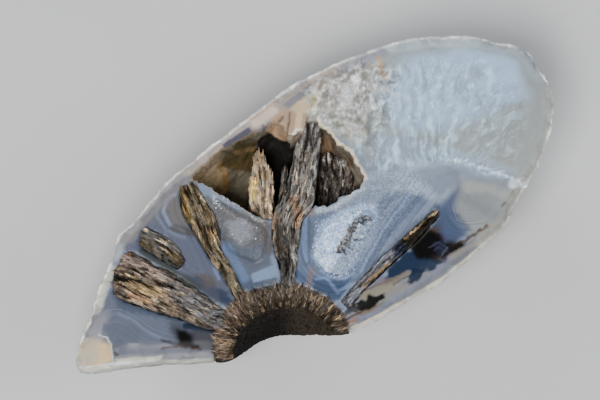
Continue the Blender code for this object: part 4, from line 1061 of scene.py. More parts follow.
@dataclass
class AgateStone:
    """The chalcedony nodule: face, rim, broken walls, cavity and the skin below."""

    node: str = "agate_body"
    voxel: float = 0.66
    seed: int = 21

    def refine(self, mesh: Mesh) -> None:
        """Divides the faces that the eye rests on once more."""
        work = bmesh.new()
        work.from_mesh(mesh.data)
        centres = np.array([face.calc_center_median() for face in work.faces]) / MM
        ups = np.array([face.normal.z for face in work.faces])
        chart = centres[:, :2] + CHART_SHIFT
        hollow = depth_inside(chart, CAVITY) > -0.6
        near = (centres[:, 2] > 24.6) & (ups > 0.3)
        deep = hollow & (centres[:, 2] > 12.0) & (ups > -0.3)
        work.faces.ensure_lookup_table()
        chosen = [work.faces[int(k)] for k in np.nonzero(near | deep)[0]]
        edges = list({edge for face in chosen for edge in face.edges})
        bmesh.ops.subdivide_edges(work, edges=edges, cuts=1, use_grid_fill=True)
        bmesh.ops.triangulate(work, faces=[face for face in work.faces if len(face.verts) > 4])
        work.to_mesh(mesh.data)
        work.free()
        mesh.data.shade_smooth()

    def build(self, frame: dict) -> Mesh:
        """Builds the stone's mesh with its relief and its paint.

        Args:
            frame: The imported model.

        Returns:
            The piece.
        """
        mesh = blank_from(frame["nodes"][self.node], self.voxel, "agate_stone", 2)
        self.refine(mesh)
        places, normals = mesh.points(), mesh.normals()
        plan = places[:, :2] + CHART_SHIFT
        chart = on_chart(places)
        grain = Grain(self.seed)
        self.rim = depth_inside(plan, RIM)
        self.mouth = depth_inside(plan, CAVITY)
        up = normals[:, 2]
        self.cavity = fade(self.mouth, -0.5, 0.3) * fade(places[:, 2], 28.2, 27.2) * fade(places[:, 2], 8.0, 10.5)
        self.face = fade(places[:, 2], 24.6, 26.4) * fade(up, 0.25, 0.6) * (1 - self.cavity)
        wander = grain.stray(chart)
        self.shape(mesh, places, normals, chart, grain, wander)
        self.dress(mesh, mesh.points(), normals, chart, grain, wander)
        return mesh

    def shape(self, mesh: Mesh, places: np.ndarray, normals: np.ndarray, chart: np.ndarray, grain: Grain,
              wander: np.ndarray) -> None:
        """Moves the points of the blank to the stone's low relief.

        Args:
            mesh: The stone.
            places: Its points.
            normals: Where they face.
            chart: Their places on the chart.
            grain: The noise in use.
            wander: What moves the edges of the strokes.
        """
        lift = np.zeros(len(places))
        for form in FACE_RELIEFS:
            lift += form.height * share_of(chart, form, wander)
        ray, plumes, curls = self.plume_fields(chart)
        lift += 0.10 * plumes * grain.layered(ray * (0.8, 0.3, 1.0), 3)
        lift += 0.20 * curls * grain.layered(np.column_stack([chart * 0.7, chart[:, 0] * 0]), 3, ridged=True)
        lift += 0.05 * grain.layered(np.column_stack([chart * 0.35, chart[:, 0] * 0 + 4]), 3)
        druse = self.druse(chart)
        first, second, _ = grain.cells(np.column_stack([chart * 1.3, chart[:, 0] * 0 + 0.5]))
        lift += 0.18 * druse * fade(second - first, 0.0, 0.5)
        # Shell-like breaks on the walls, flutes of old bark and pits on the skin
        out = 1 - np.maximum(self.face, self.cavity)
        first, second, share = grain.cells(places * 0.14)
        ripple = np.sin(first * 26.0) * 0.05
        scale = grain.layered(places * 0.30, 4)
        rough = grain.layered(places * 1.1, 3, ridged=True)
        walls = 0.22 * (share - 0.5) * fade(second - first, 0.0, 0.2) + ripple + 0.22 * scale + 0.07 * rough
        under = fade(normals[:, 2], -0.1, -0.6)
        pits = fade(grain.at(places * 0.75 + 30), 0.25, 0.6) * under
        walls -= 0.45 * pits
        walls *= fade(places[:, 2], 0.4, 2.5)
        first, second, share = grain.cells(places * 0.42 + 9)
        crust = 0.5 * (share - 0.5) * fade(second - first, 0.0, 0.15) + 0.25 * grain.layered(places * 0.8, 3)
        rim = fade(self.rim, 1.8, 0.2) * self.face
        first, second, share = grain.cells(places * (0.55, 0.55, 0.2) + 21)
        total = (lift - 0.3 * rim * share * fade(second - first, 0.0, 0.15)) * self.face + walls * out + crust * self.cavity
        moved = places + normals * total[:, None]
        torn = fade(np.abs(self.mouth), 1.6, 0.2) * fade(places[:, 2], 22.0, 26.0)
        chipped = fade(np.abs(self.rim), 1.2, 0.0) * fade(places[:, 2], 23.0, 26.0)
        moved[:, :2] += wander * (0.95 * torn + 0.5 * chipped)[:, None]
        moved = np.clip(moved, (-51.3, -38.3, 0.0), (51.3, 38.3, 28.8))
        mesh.move(moved)

    def druse(self, chart: np.ndarray) -> np.ndarray:
        """How much each place is covered by fine druse."""
        zone = ((-1, -13), (3, -18), (8, -17), (14, -12), (20, -4), (26, 5), (20, 8), (12, 7), (7, 2), (0, -2.4))
        near = fade(depth_inside(chart, zone), -1.5, 1.5)
        dish = fade(depth_inside(chart, ((-24, 2), (-9.5, -4.2), (-9, -13), (-15, -14), (-20, -9))), -0.5, 1.5)
        return np.clip(near * 0.8 + dish * 0.55, 0, 1)

    def plume_fields(self, chart: np.ndarray) -> tuple[np.ndarray, np.ndarray, np.ndarray]:
        """The plumes' own coordinates and where they and their curls are.

        Args:
            chart: Places on the chart.

        Returns:
            Rows of a vector that runs along each ray, the share of plumes and the share of curls.
        """
        bend = Grain(self.seed + 9).stray(chart, 0.10, 0.30)
        away = chart - PLUME_ROOT + 1.3 * bend
        reach = np.hypot(away[:, 0], away[:, 1])
        angle = np.arctan2(away[:, 0], away[:, 1])
        left = away[:, 0] < 0
        ray = np.column_stack([np.where(left, away[:, 0] * 0.9, angle * 15.0), np.where(left, away[:, 1], reach), 0.05 * reach])
        zone = ((12, 5), (7, 14), (6, 26), (13, 31.5), (24, 34), (36, 34), (44, 30), (47, 22), (46, 14), (43, 7), (33, 9), (20, 7))
        plumes = fade(depth_inside(chart, zone), -0.5, 2.5)
        curl_zone = ((0, 18), (-3, 26), (10, 33), (20, 31), (16, 18), (12, 12), (5, 16))
        curls = fade(depth_inside(chart, curl_zone), -1.5, 2.0)
        return ray, plumes * (1 - 0.6 * curls), curls

    def bands(self, chart: np.ndarray, places: np.ndarray) -> tuple[np.ndarray, np.ndarray]:
        """The coordinate that the fine bands follow, and how strong they are.

        Args:
            chart: Places on the chart.
            places: The points themselves.

        Returns:
            The coordinate in mm, and a share.
        """
        best = fade(self.rim, 5.0, 2.0) * 0.28
        coordinate = self.rim * 1.5
        families = []
        for line, border, rate, strength in BAND_LINES:
            families.append((path_field(chart, rounded(line))[1] * rate + 60, fade(depth_inside(chart, border), -0.8, 1.6) * strength))
        for k, (border, rate, strength) in enumerate(BAND_ZONES):
            depth = depth_inside(chart, border)
            families.append((depth * rate + 13.0 * k, fade(depth, -0.6, 1.4) * strength))
        for field, share in families:
            stronger = share > best
            coordinate = np.where(stronger, field, coordinate)
            best = np.maximum(best, share)
        wall = fade(places[:, 2], 26.5, 24.5) * (1 - self.cavity)
        coordinate = np.where(wall > 0.5, places[:, 2] * 0.9 + 5, coordinate)
        return coordinate, np.where(wall > 0.5, 0.55, best) * (1 - self.cavity)

    def dress(self, mesh: Mesh, places: np.ndarray, normals: np.ndarray, chart: np.ndarray, grain: Grain,
              wander: np.ndarray) -> None:
        """Paints the stone and stores what its material reads.

        Args:
            mesh: The stone.
            places: Its points.
            normals: Where they face.
            chart: Their places on the chart.
            grain: The noise in use.
            wander: What moves the edges of the strokes.
        """
        count = len(places)
        paint = Paint((140, 147, 158), count)
        z = places[:, 2]
        cloud = grain.layered(places * 0.16, 3)
        # The broken walls and the skin underneath
        paint.lay((178, 178, 174), fade(z, 14, 26))
        paint.lay((122, 130, 142), fade(cloud, 0.0, 0.45) * fade(z, 25, 17))
        skin = fade(grain.layered(places * 0.22 + 7, 4), -0.25, 0.2) * fade(z, 22, 12)
        paint.lay((158, 149, 132), skin * 0.85)
        bark = fade(chart[:, 1] - 0.78 * chart[:, 0], 22.0, 27.0) * fade(normals[:, 2], 0.5, 0.1) * fade(z, 28, 26.5)
        flutes = grain.layered(np.column_stack([(chart[:, 0] * 0.8 + chart[:, 1]) * 0.5, z * 0.07, z * 0 + 3]), 3)
        paint.lay((164, 156, 142), bark * 0.9)
        paint.lay((104, 88, 68), bark * fade(flutes, 0.05, 0.5) * 0.8)
        paint.lay((120, 92, 60), fade(grain.layered(places * 0.5 + 51, 4), 0.22, 0.5) * fade(z, 25, 14) * 0.7)
        # The face
        before = paint.colour.copy()
        paint.colour[:] = light((140, 150, 165))
        paint.strokes(chart, FACE_STROKES, wander)
        ray, plumes, curls = self.plume_fields(chart)
        bent = ray + 0.8 * np.column_stack([wander, wander[:, :1] * 0])
        wisps = grain.layered(bent * (0.95, 0.2, 1.0) + 60, 4)
        middle = fade(path_field(chart, ((17, 12), (24, 18), (31, 25)))[0], 15.0, 4.0)
        paint.lay((188, 201, 214), plumes * fade(wisps, -0.05, 0.35) * (0.35 + 0.45 * middle))
        paint.lay((154, 156, 155), plumes * fade(wisps, -0.05, -0.4) * 0.5)
        knots = swells(grain, chart, 0.45, 4, True)
        paint.lay((204, 207, 206), curls * fade(knots, 0.15, 0.6) * 0.55)
        paint.lay((138, 137, 132), curls * fade(knots, 0.0, -0.5) * 0.6)
        lip = fade(np.abs(self.mouth + 0.2), 0.42, 0.1)
        paint.lay((208, 202, 188), lip * fade(chart[:, 0], 0.0, 3.0) * fade(chart[:, 1], 3.0, 6.0) * 0.85)
        paint.lay((128, 112, 86), lip * fade(chart[:, 0], -10.0, -13.0) * fade(chart[:, 1], 4.0, 8.0) * 0.8)
        edge = fade(self.rim, 0.6, 0.15)
        paint.lay((208, 208, 204), edge * (0.35 + 0.55 * fade(swells(grain, chart, 0.5, 3), -0.2, 0.2)))
        share = fade(z, 25.2, 26.6) * fade(normals[:, 2], -0.1, 0.35)
        paint.colour = before + (paint.colour - before) * share[:, None]
        # The cavity
        ground = Paint((74, 62, 48), count)
        ground.lay((40, 31, 22), fade(z, 22, 14))
        ground.strokes(chart, CAVITY_STROKES, wander)
        # Painted light: the cavity's paint is lifted, the more the deeper it lies, against the shade there; a random
        # mottle rides on it
        cell = grain.cells(places * 0.5 + 3)[2]
        ground.shade((0.95 + 0.2 * cell + 0.5 * grain.layered(places * 0.9, 3)) * (1.8 + 3.4 * fade(z, 25.0, 13.0)))
        paint.colour += (ground.colour - paint.colour) * self.cavity[:, None]
        mesh.paint(paint)
        druse = self.druse(chart) * self.face
        coordinate, banding = self.bands(chart, places)
        skin_share = np.clip((1 - self.face) * (0.35 + 0.65 * np.maximum(skin, bark)), 0, 1)
        crest = share_of(chart, CREST, wander) * self.face
        edge = fade(self.rim, 3.0, 0.6) * (1 - self.cavity)
        rough = np.clip(skin_share + self.cavity, 0, 1)
        dull = np.clip(0.34 + 0.16 * druse + 0.12 * plumes + 0.32 * skin_share + 0.3 * self.cavity + 0.3 * fade(self.rim, 5.0, 2.0), 0, 0.85)
        fields = (coordinate, banding * (1 - 0.5 * druse), ray, plumes * self.face, curls * self.face, crest, druse, edge,
                  rough, dull)
        for name, values in zip(STONE_FIELDS, fields):
            mesh.keep(name, values)


@dataclass(frozen=True)
class Mixture:
    """How much of each kind of fibre a rib has, 0 to 1."""

    gold: float = 0.3
    grey: float = 0.3
    pale: float = 0.25
    rust: float = 0.1
    dark: float = 0.35


FIBRE_TONES: dict[str, Tone] = {
    "gold": (164, 148, 112), "grey": (128, 126, 124), "pale": (192, 182, 164), "rust": (140, 114, 88), "dark": (50, 44, 38),
}


@dataclass
class WoodRib:
    """A rib of old wood with its long fibres."""

    node: str
    name: str
    middle: Line
    ground: Tone
    mixture: Mixture
    strokes: tuple[Stroke, ...] = ()
    slot: Slot = Slot.WOOD
    voxel: float = 0.28
    strand: float = 1.0
    relief: float = 0.42
    swell: float = 0.3
    fray: float = 1.0
    bright: float = 1.0
    painted_side_light: float = 1.0
    crown: float = 28.7
    calm: Line = ()
    fibre_density: float = 2.6e6
    fibre_length: float = 1.2
    seed: int = 5

    def fibres(self, mesh: Mesh, grain_at: np.ndarray) -> tuple[np.ndarray, np.ndarray]:
        """The heights of the fibres and their cracks.

        Args:
            mesh: The rib; not used.
            grain_at: Its points as lengths along, across and below.

        Returns:
            The height of each point above the blank, and the share of crack.
        """
        grain = Grain(self.seed)
        fine = 1.0 / self.strand
        bent = grain_at + (0.0, 0.35, 0.0) * grain.layered(grain_at * (0.25, 0.2, 0.2) + 9, 2)[:, None]
        strands = grain.layered(bent * (0.10, 0.85 * fine, 0.35), 3, ridged=True)
        threads = grain.layered(bent * (0.34, 2.4 * fine, 1.2) + 40, 2)
        steps = np.round(grain.at(bent * (0.34, 1.1 * fine, 0.2) + 80) * 3) / 3
        gaps = fade(grain.layered(bent * (0.20, 1.3 * fine, 0.4) + 120, 2), 0.14, 0.30)
        gaps = np.maximum(gaps, fade(grain.at(bent * (0.30, 1.9 * fine, 0.5) + 160), 0.36, 0.5))
        height = self.relief * (0.55 * strands + 0.5 * threads + 0.8 * steps) - 2.0 * self.relief * gaps
        return height, gaps

    def build(self, frame: dict) -> Mesh:
        """Builds the rib with its fibres and its paint.

        Args:
            frame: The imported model.

        Returns:
            The piece.
        """
        mesh = blank_from(frame["nodes"][self.node], self.voxel, self.name, 2)
        places, normals = mesh.points(), mesh.normals()
        plan = places[:, :2] + CHART_SHIFT
        _, across, along = path_field(plan, self.middle)
        grain_at = np.column_stack([along, across, places[:, 2]])
        height, gaps = self.fibres(mesh, grain_at)
        top = fade(normals[:, 2], 0.0, 0.5)
        grain = Grain(self.seed + 50)
        heading = headings(plan, self.middle)
        end = (normals[:, :2] * heading).sum(1)
        ragged = 0.9 * grain.layered(np.column_stack([across * 1.3, places[:, 2] * 0.05, along * 0.02]), 3)
        frayed = 0.8 * grain.layered(grain_at * (0.55, 0.1, 0.12) + 3, 4)
        push = self.swell + np.clip(frayed, -0.45, 0.55) * (1 - top) + height * (0.15 + 0.85 * top)
        moved = places + normals * push[:, None]
        moved[:, :2] += heading * (np.clip(ragged, -0.1, 1.2) * self.fray * fade(np.abs(end), 0.3, 0.8) * np.sign(end))[:, None]
        moved = np.clip(moved, (-51.3, -38.2, 0.0), (51.3, 38.2, self.crown))
        mesh.move(moved)
        self.dress(mesh, on_chart(moved), grain_at, height, gaps, top)
        return mesh

    def dress(self, mesh: Mesh, chart: np.ndarray, grain_at: np.ndarray, height: np.ndarray, gaps: np.ndarray,
              top: np.ndarray) -> None:
        """Paints the rib.

        Args:
            mesh: The rib.
            chart: The places of its points on the chart.
            grain_at: The same as lengths along, across and below.
            height: How far each stands up.
            gaps: Where the cracks are.
            top: How much each faces up.
        """
        grain = Grain(self.seed + 100)
        paint = Paint(self.ground, len(chart))
        fine = 1.0 / self.strand
        for k, (kind, tone) in enumerate(FIBRE_TONES.items()):
            amount = getattr(self.mixture, kind)
            value = grain.layered(grain_at * (0.26, 1.25 * fine, 0.5) + 31.0 * k, 3)
            edge = 0.5 - 0.85 * amount
            paint.lay(tone, fade(value, edge, edge + 0.12) * (0.85 if amount else 0.0))
        paint.strokes(chart, self.strokes, grain.stray(chart))
        # Painted light and shade: higher fibres lighter and lower ones darker, with a random speckle, times the rib's
        # own brightness
        speckle = grain.layered(grain_at * (0.9, 3.0 * fine, 1.4) + 7, 2)
        paint.shade(np.clip(1.25 + 0.5 * speckle + 0.5 * height / max(self.relief, 0.1), 0.35, 2.0) * self.bright)
        side = 1 - top
        # Painted light: the sides lightened to a stone grey against the shade in the gap round a rib set in the stone
        paint.lay((112, 110, 112), side * self.painted_side_light * 0.7)
        mesh.paint(paint)
        mesh.keep("grain", grain_at)
        calm = 1 - 0.85 * fade(depth_inside(chart, self.calm), -1.0, 1.0) if self.calm else np.ones(len(chart))
        mesh.keep("worn", 0.5 * calm * (1 - 0.5 * side))
        mesh.keep("crack", gaps * 0.5 * calm * (1 - 0.7 * side))

    def frayed(self, mesh: Mesh, tree: "GrowthTree") -> Mesh:
        """Lays loose fibres along the top of the rib.

        Args:
            mesh: The rib, which is used up.
            tree: What grows them.

        Returns:
            The rib with its fibres.
        """
        places, normals = mesh.points(), mesh.normals()
        plan = places[:, :2] + CHART_SHIFT
        heading = headings(plan, self.middle)
        along = path_field(plan, self.middle)[2]
        grain = Grain(self.seed + 200)
        sway = 0.16 * grain.layered(places * 0.5, 2)
        rise = 0.05 + 0.10 * grain.at(places * 0.7 + 5)
        mesh.keep("heading", np.column_stack([heading[:, 0] - sway * heading[:, 1], heading[:, 1] + sway * heading[:, 0], rise]))
        mesh.keep("grow", fade(normals[:, 2], 0.25, 0.6) * fade(places[:, 2], 10.0, 14.0)
                  * fade(along.max() - along, 0.6, 1.6))
        width = 0.11 * self.strand
        return tree.grow(mesh, self.name, {"Density": self.fibre_density, "Radius": width * MM, "Height": self.fibre_length * MM,
                                           "Lean": 0.08, "Smallest": 0.4, "Largest": 1.3, "Tip": 0.35, "Darkest": 0.6,
                                           "Lightest": 1.5, "Seed": self.seed})


WOOD_RIBS: tuple[WoodRib, ...] = (
    WoodRib("wood_rib_wide", "wide_rib", ((-17.0, -27.0), (-22.0, -25.6), (-27.0, -23.0), (-33.0, -19.9), (-41.0, -15.9)),
            (132, 120, 106), Mixture(0.30, 0.40, 0.30, 0.08, 0.30), (
        Stroke((156, 116, 76), ((-40.4, -11.8), (-38.6, -12.4)), 0.5, 1.0, 0.5),
        Stroke((156, 144, 138), ((-40.0, -13.6), (-36.0, -15.0), (-32.4, -16.8)), 0.9, 1.2, 0.6),
        Stroke((182, 166, 132), ((-38.6, -18.9), (-34.0, -20.2), (-31.0, -21.4)), 0.5, 0.9, 0.55),
        Stroke((178, 152, 122), ((-38.4, -21.4), (-35.0, -22.6)), 0.5, 0.8, 0.5),
        Stroke((124, 126, 132), ((-29.0, -20.0), (-24.0, -23.4), (-20.0, -26.4)), 1.6, 1.6, 0.55),
        # Painted shadow in the split between the two lobes at the left end
        patch((14, 13, 14), ((-43, -16.2), (-40.0, -16.6), (-36.6, -18.0), (-37.4, -18.6), (-40.2, -18.2), (-43, -18.6)), 0.5,
        0.95, 0.5),
        # Painted shadow along the rib's upper edge
        Stroke((34, 30, 28), ((-39.0, -11.4), (-33.0, -14.8), (-27.0, -18.3), (-21.0, -22.8)), 0.3, 0.5, 0.6)),
            voxel=0.3, relief=0.5, bright=0.95, seed=7),
    WoodRib("wood_rib_small", "small_rib", ((-28.0, -14.2), (-31.0, -11.2), (-36.8, -7.6)), (112, 108, 104),
            Mixture(0.16, 0.44, 0.30, 0.02, 0.30), (
        Stroke((96, 78, 42), ((-36.8, -9.4), (-35.0, -10.6)), 0.6, 0.8, 0.75),
        Stroke((88, 72, 40), ((-30.0, -12.0), (-28.3, -14.0)), 0.7, 0.7, 0.8),
        Stroke((84, 82, 62), ((-33.6, -12.2), (-30.2, -14.2)), 0.5, 0.6, 0.7)),
            voxel=0.25, relief=0.4, bright=1.25, seed=11),
    WoodRib("wood_rib_slender", "slender_rib", ((-15.0, -22.8), (-18.4, -16.0), (-21.6, -11.0), (-23.4, -5.4), (-27.6, 4.5)),
            (116, 104, 84), Mixture(0.34, 0.34, 0.24, 0.06, 0.30), (
        Stroke((142, 122, 70), ((-28.0, 2.6), (-27.6, -1.8), (-25.6, -5.0)), 0.5, 0.8, 0.6),
        Stroke((150, 108, 62), ((-21.9, -7.6), (-21.7, -8.3)), 0.1, 0.35, 0.85),
        Stroke((128, 119, 99), ((-19.6, -13.0), (-17.4, -17.6), (-15.4, -22.0)), 0.5, 0.7, 0.7),
        Stroke((30, 24, 22), ((-23.6, -6.6), (-22.8, -9.2), (-21.8, -11.0)), 0.3, 0.5, 0.8)),
            voxel=0.25, relief=0.42, bright=1.3, seed=13),
    WoodRib("wood_rib_centre", "centre_rib", ((-5.5, -21.0), (-5.2, -16.0), (-6.0, -10.0), (-5.6, -4.0), (-3.2, 0.6),
        (-2.4, 6.0), (-1.4, 13.0), (-0.2, 18.4)), (126, 122, 118),
            Mixture(0.16, 0.50, 0.28, 0.04, 0.22), (
        Stroke((26, 22, 20), ((-0.9, 17.0), (-0.7, 13.0)), 0.2, 0.3, 0.8),
        Stroke((160, 132, 96), ((-4.4, 0.4), (-3.2, -2.4), (-3.6, -5.6)), 0.4, 0.8, 0.6),
        Stroke((142, 116, 80), ((-8.4, -3.4), (-8.2, -6.0)), 0.4, 0.7, 0.6),
        Stroke((22, 18, 17), ((-4.6, -6.4), (-4.3, -9.2)), 0.35, 0.4, 0.85),
        Stroke((74, 58, 42), ((-8.0, -8.0), (-7.4, -11.4)), 0.4, 0.6, 0.7),
        Stroke((46, 42, 38), ((-7.0, -6.0), (-5.8, -14.0), (-5.6, -20.0)), 0.7, 1.4, 0.75),
        Stroke((150, 150, 150), ((-4.3, -12.0), (-4.5, -15.4), (-5.0, -19.6)), 0.25, 0.4, 0.65)),
            voxel=0.28, strand=0.85, relief=0.42, bright=1.35, seed=17),
    WoodRib("wood_rib_short", "short_rib", ((-10.0, -4.0), (-11.0, 1.0), (-11.2, 6.0), (-11.8, 14.0)), (150, 136, 116),
            Mixture(0.26, 0.34, 0.30, 0.04, 0.10), (
        Stroke((190, 174, 118), ((-12.9, 0.8), (-13.1, 2.6), (-12.7, 4.6)), 0.4, 0.6, 0.75),
        Stroke((112, 100, 90), ((-12.0, -1.4), (-10.4, -3.0)), 0.8, 0.9, 0.6)),
            voxel=0.22, strand=0.8, relief=0.34, bright=1.6, painted_side_light=0.0,
            calm=((-15, -6), (-7, -6), (-8, 15), (-15, 15)), seed=19),
    WoodRib("wood_splinter", "splinter", ((-7.0, 0.6), (-6.3, 5.0), (-6.1, 10.8)), (92, 86, 78),
            Mixture(0.12, 0.5, 0.14, 0.02, 0.4), voxel=0.2, strand=0.6, relief=0.2, swell=0.1, bright=1.2, painted_side_light=0.0, seed=23),
    # The deep sheet's tone is lifted threefold: painted light against the shade deep in the cavity
    WoodRib("wood_sheet_deep", "deep_sheet", ((4.0, 0.8), (5.0, 6.0), (4.8, 12.6)), (74, 68, 64),
            Mixture(0.06, 0.42, 0.08, 0.04, 0.46), slot=Slot.DARK_WOOD, voxel=0.26, relief=0.4, strand=0.7, bright=3.2, painted_side_light=0.0, seed=29),
    WoodRib("wood_rib_long", "long_rib", ((6.6, -23.2), (13.6, -15.4), (18.4, -10.6), (26.8, -2.0)), (96, 84, 68),
            Mixture(0.30, 0.20, 0.26, 0.02, 0.44), (
        patch((34, 30, 26), ((16.6, -9), (20, -13), (29, -3), (26, 0.6)), 0.6, 0.9),
        patch((136, 138, 146), ((6, -26), (4, -22), (12, -14), (16.4, -10.4), (18.2, -12.2), (13, -17.6)), 0.8, 0.85),
        patch((50, 60, 84), ((16.6, -9.4), (19.2, -9.4), (19, -12.6), (17, -13)), 0.8, 0.85),
        Stroke((168, 150, 118), ((10.4, -19.3), (13.6, -16.4), (16.8, -13.4)), 0.15, 0.4, 0.85, wander=0.6),
        Stroke((40, 34, 30), ((9.6, -19.0), (13.0, -15.8), (16.0, -12.8)), 0.1, 0.3, 0.8, wander=0.7),
        Stroke((34, 28, 26), ((11.6, -19.0), (14.4, -16.4), (17.4, -13.2)), 0.08, 0.3, 0.8, wander=0.6),
        Stroke((184, 172, 146), ((19.6, -8.8), (22.4, -5.6), (26.6, -1.8)), 0.1, 0.3, 0.8, wander=0.9)),
            voxel=0.22, strand=0.7, relief=0.24, swell=0.0, crown=28.3, fibre_density=0.9e6,
            calm=((2, -26), (12, -12), (16, -9), (19, -12), (14, -20)), seed=31),
)


class GrowthTree:
    """A Geometry Nodes tree that grows small pointed forms from a surface."""

    def __init__(self, name: str, material: bpy.types.Material, sides: int, keep_base: bool) -> None:
        """Builds the tree.

        Args:
            name: Its name.
            material: The finish of all that it makes.
            sides: The sides of each form.
            keep_base: Whether the surface stays in the result.
        """
        self.tree = bpy.data.node_groups.new(name, "GeometryNodeTree")
        face = self.tree.interface
        self.sockets: dict[str, str] = {}
        face.new_socket("Geometry", in_out="INPUT", socket_type="NodeSocketGeometry")
        for label, kind, value in (
            ("Density", "NodeSocketFloat", 1e6), ("Radius", "NodeSocketFloat", 0.0003), ("Height", "NodeSocketFloat", 0.001),
            ("Lean", "NodeSocketFloat", 0.4), ("Smallest", "NodeSocketFloat", 0.5), ("Largest", "NodeSocketFloat", 1.3),
            ("Tip", "NodeSocketFloat", 0.0), ("Darkest", "NodeSocketFloat", 0.8), ("Lightest", "NodeSocketFloat", 1.2),
            ("Seed", "NodeSocketInt", 3),
        ):
            socket = face.new_socket(label, in_out="INPUT", socket_type=kind)
            socket.default_value = value
            self.sockets[label] = socket.identifier
        face.new_socket("Geometry", in_out="OUTPUT", socket_type="NodeSocketGeometry")
        self.build(material, sides, keep_base)

    def put(self, kind: str, feeds: dict[int | str, object], **settings: object) -> bpy.types.Node:
        """A new node.

        Args:
            kind: Its type.
            feeds: A value or a socket for each of its inputs.
            settings: Its other settings.

        Returns:
            The node.
        """
        made = self.tree.nodes.new(kind)
        for key, value in settings.items():
            setattr(made, key, value)
        for key, value in feeds.items():
            if isinstance(value, Socket):
                self.tree.links.new(value, made.inputs[key])
            else:
                made.inputs[key].default_value = value
        return made

    def read(self, name: str, data_type: str) -> Socket:
        """An attribute of the surface."""
        return self.put("GeometryNodeInputNamedAttribute", {"Name": name}, data_type=data_type).outputs[0]

    def product(self, a: object, b: object) -> Socket:
        """One number times another."""
        return self.put("ShaderNodeMath", {0: a, 1: b}, operation="MULTIPLY").outputs[0]

    def chance(self, low: object, high: object, seed: object) -> Socket:
        """A number between two others, drawn for each form."""
        return self.put("FunctionNodeRandomValue", {2: low, 3: high, "Seed": seed}, data_type="FLOAT").outputs[1]

    def build(self, material: bpy.types.Material, sides: int, keep_base: bool) -> None:
        """Puts the nodes in place and links them.

        Args:
            material: The finish of all that it makes.
            sides: The sides of each form.
            keep_base: Whether the surface stays in the result.
        """
        given = self.put("NodeGroupInput", {}).outputs
        seed, lean = given["Seed"], given["Lean"]
        scatter = self.put("GeometryNodeDistributePointsOnFaces", {
            "Mesh": given["Geometry"], "Density": self.product(given["Density"], self.read("grow", "FLOAT")), "Seed": seed,
        }, distribute_method="RANDOM")
        cone = self.put("GeometryNodeMeshCone", {
            "Vertices": sides, "Radius Bottom": given["Radius"], "Radius Top": self.product(given["Radius"], given["Tip"]),
            "Depth": given["Height"],
        }, fill_type="NGON")
        held = self.put("GeometryNodeCaptureAttribute", {"Geometry": scatter.outputs["Points"]}, domain="POINT")
        for name, kind, data_type in (("heading", "VECTOR", "FLOAT_VECTOR"), ("paint", "RGBA", "FLOAT_COLOR"),
                                      ("grain", "VECTOR", "FLOAT_VECTOR")):
            held.capture_items.new(kind, name)
            self.tree.links.new(self.read(name, data_type), held.inputs[name])
        aim = self.put("FunctionNodeAlignRotationToVector", {"Vector": held.outputs["heading"]}, axis="Z")
        back = self.product(lean, -1.0)
        low = self.put("ShaderNodeCombineXYZ", {0: back, 1: back})
        high = self.put("ShaderNodeCombineXYZ", {0: lean, 1: lean, 2: math.pi})
        shake = self.put("FunctionNodeRandomValue", {0: low.outputs[0], 1: high.outputs[0], "Seed": seed},
                         data_type="FLOAT_VECTOR")
        rotate = self.put("FunctionNodeRotateRotation", {0: aim.outputs[0], 1: shake.outputs[0]}, rotation_space="LOCAL")
        copies = self.put("GeometryNodeInstanceOnPoints", {
            "Points": held.outputs["Geometry"], "Instance": cone.outputs["Mesh"], "Rotation": rotate.outputs[0],
            "Scale": self.chance(given["Smallest"], given["Largest"], seed),
        })
        tint = self.put("ShaderNodeVectorMath", {
            0: held.outputs["paint"], "Scale": self.chance(given["Darkest"], given["Lightest"], seed),
        }, operation="SCALE")
        grown = copies.outputs[0]
        for name, data_type, value in (("paint", "FLOAT_COLOR", tint.outputs[0]),
                                       ("grain", "FLOAT_VECTOR", held.outputs["grain"])):
            grown = self.put("GeometryNodeStoreNamedAttribute", {"Geometry": grown, "Name": name, "Value": value},
                             data_type=data_type, domain="INSTANCE").outputs[0]
        if keep_base:
            join = self.put("GeometryNodeJoinGeometry", {0: grown})
            self.tree.links.new(given["Geometry"], join.inputs[0])
            grown = join.outputs[0]
        real = self.put("GeometryNodeRealizeInstances", {0: grown})
        dress = self.put("GeometryNodeSetMaterial", {0: real.outputs[0], "Material": material})
        self.put("NodeGroupOutput", {0: dress.outputs[0]})

    def grow(self, base: Mesh, name: str, sizes: dict[str, float]) -> Mesh:
        """Runs the tree on a surface and gives back a plain mesh in its place.

        Args:
            base: The surface, with its grow, heading and paint attributes. It is used up.
            name: The new piece's name.
            sizes: The tree's inputs by name.

        Returns:
            The grown piece.
        """
        modifier = base.obj.modifiers.new("growth", "NODES")
        modifier.node_group = self.tree
        for label, value in sizes.items():
            modifier[self.sockets[label]] = value
        base.obj.data.update()
        data = baked(base.obj)
        base.obj.modifiers.remove(modifier)
        bpy.data.objects.remove(base.obj)
        grown = Mesh(name, data)
        grown.move(np.clip(grown.points(), (-51.4, -38.35, 0.0), (51.4, 38.35, 28.95)))
        return grown


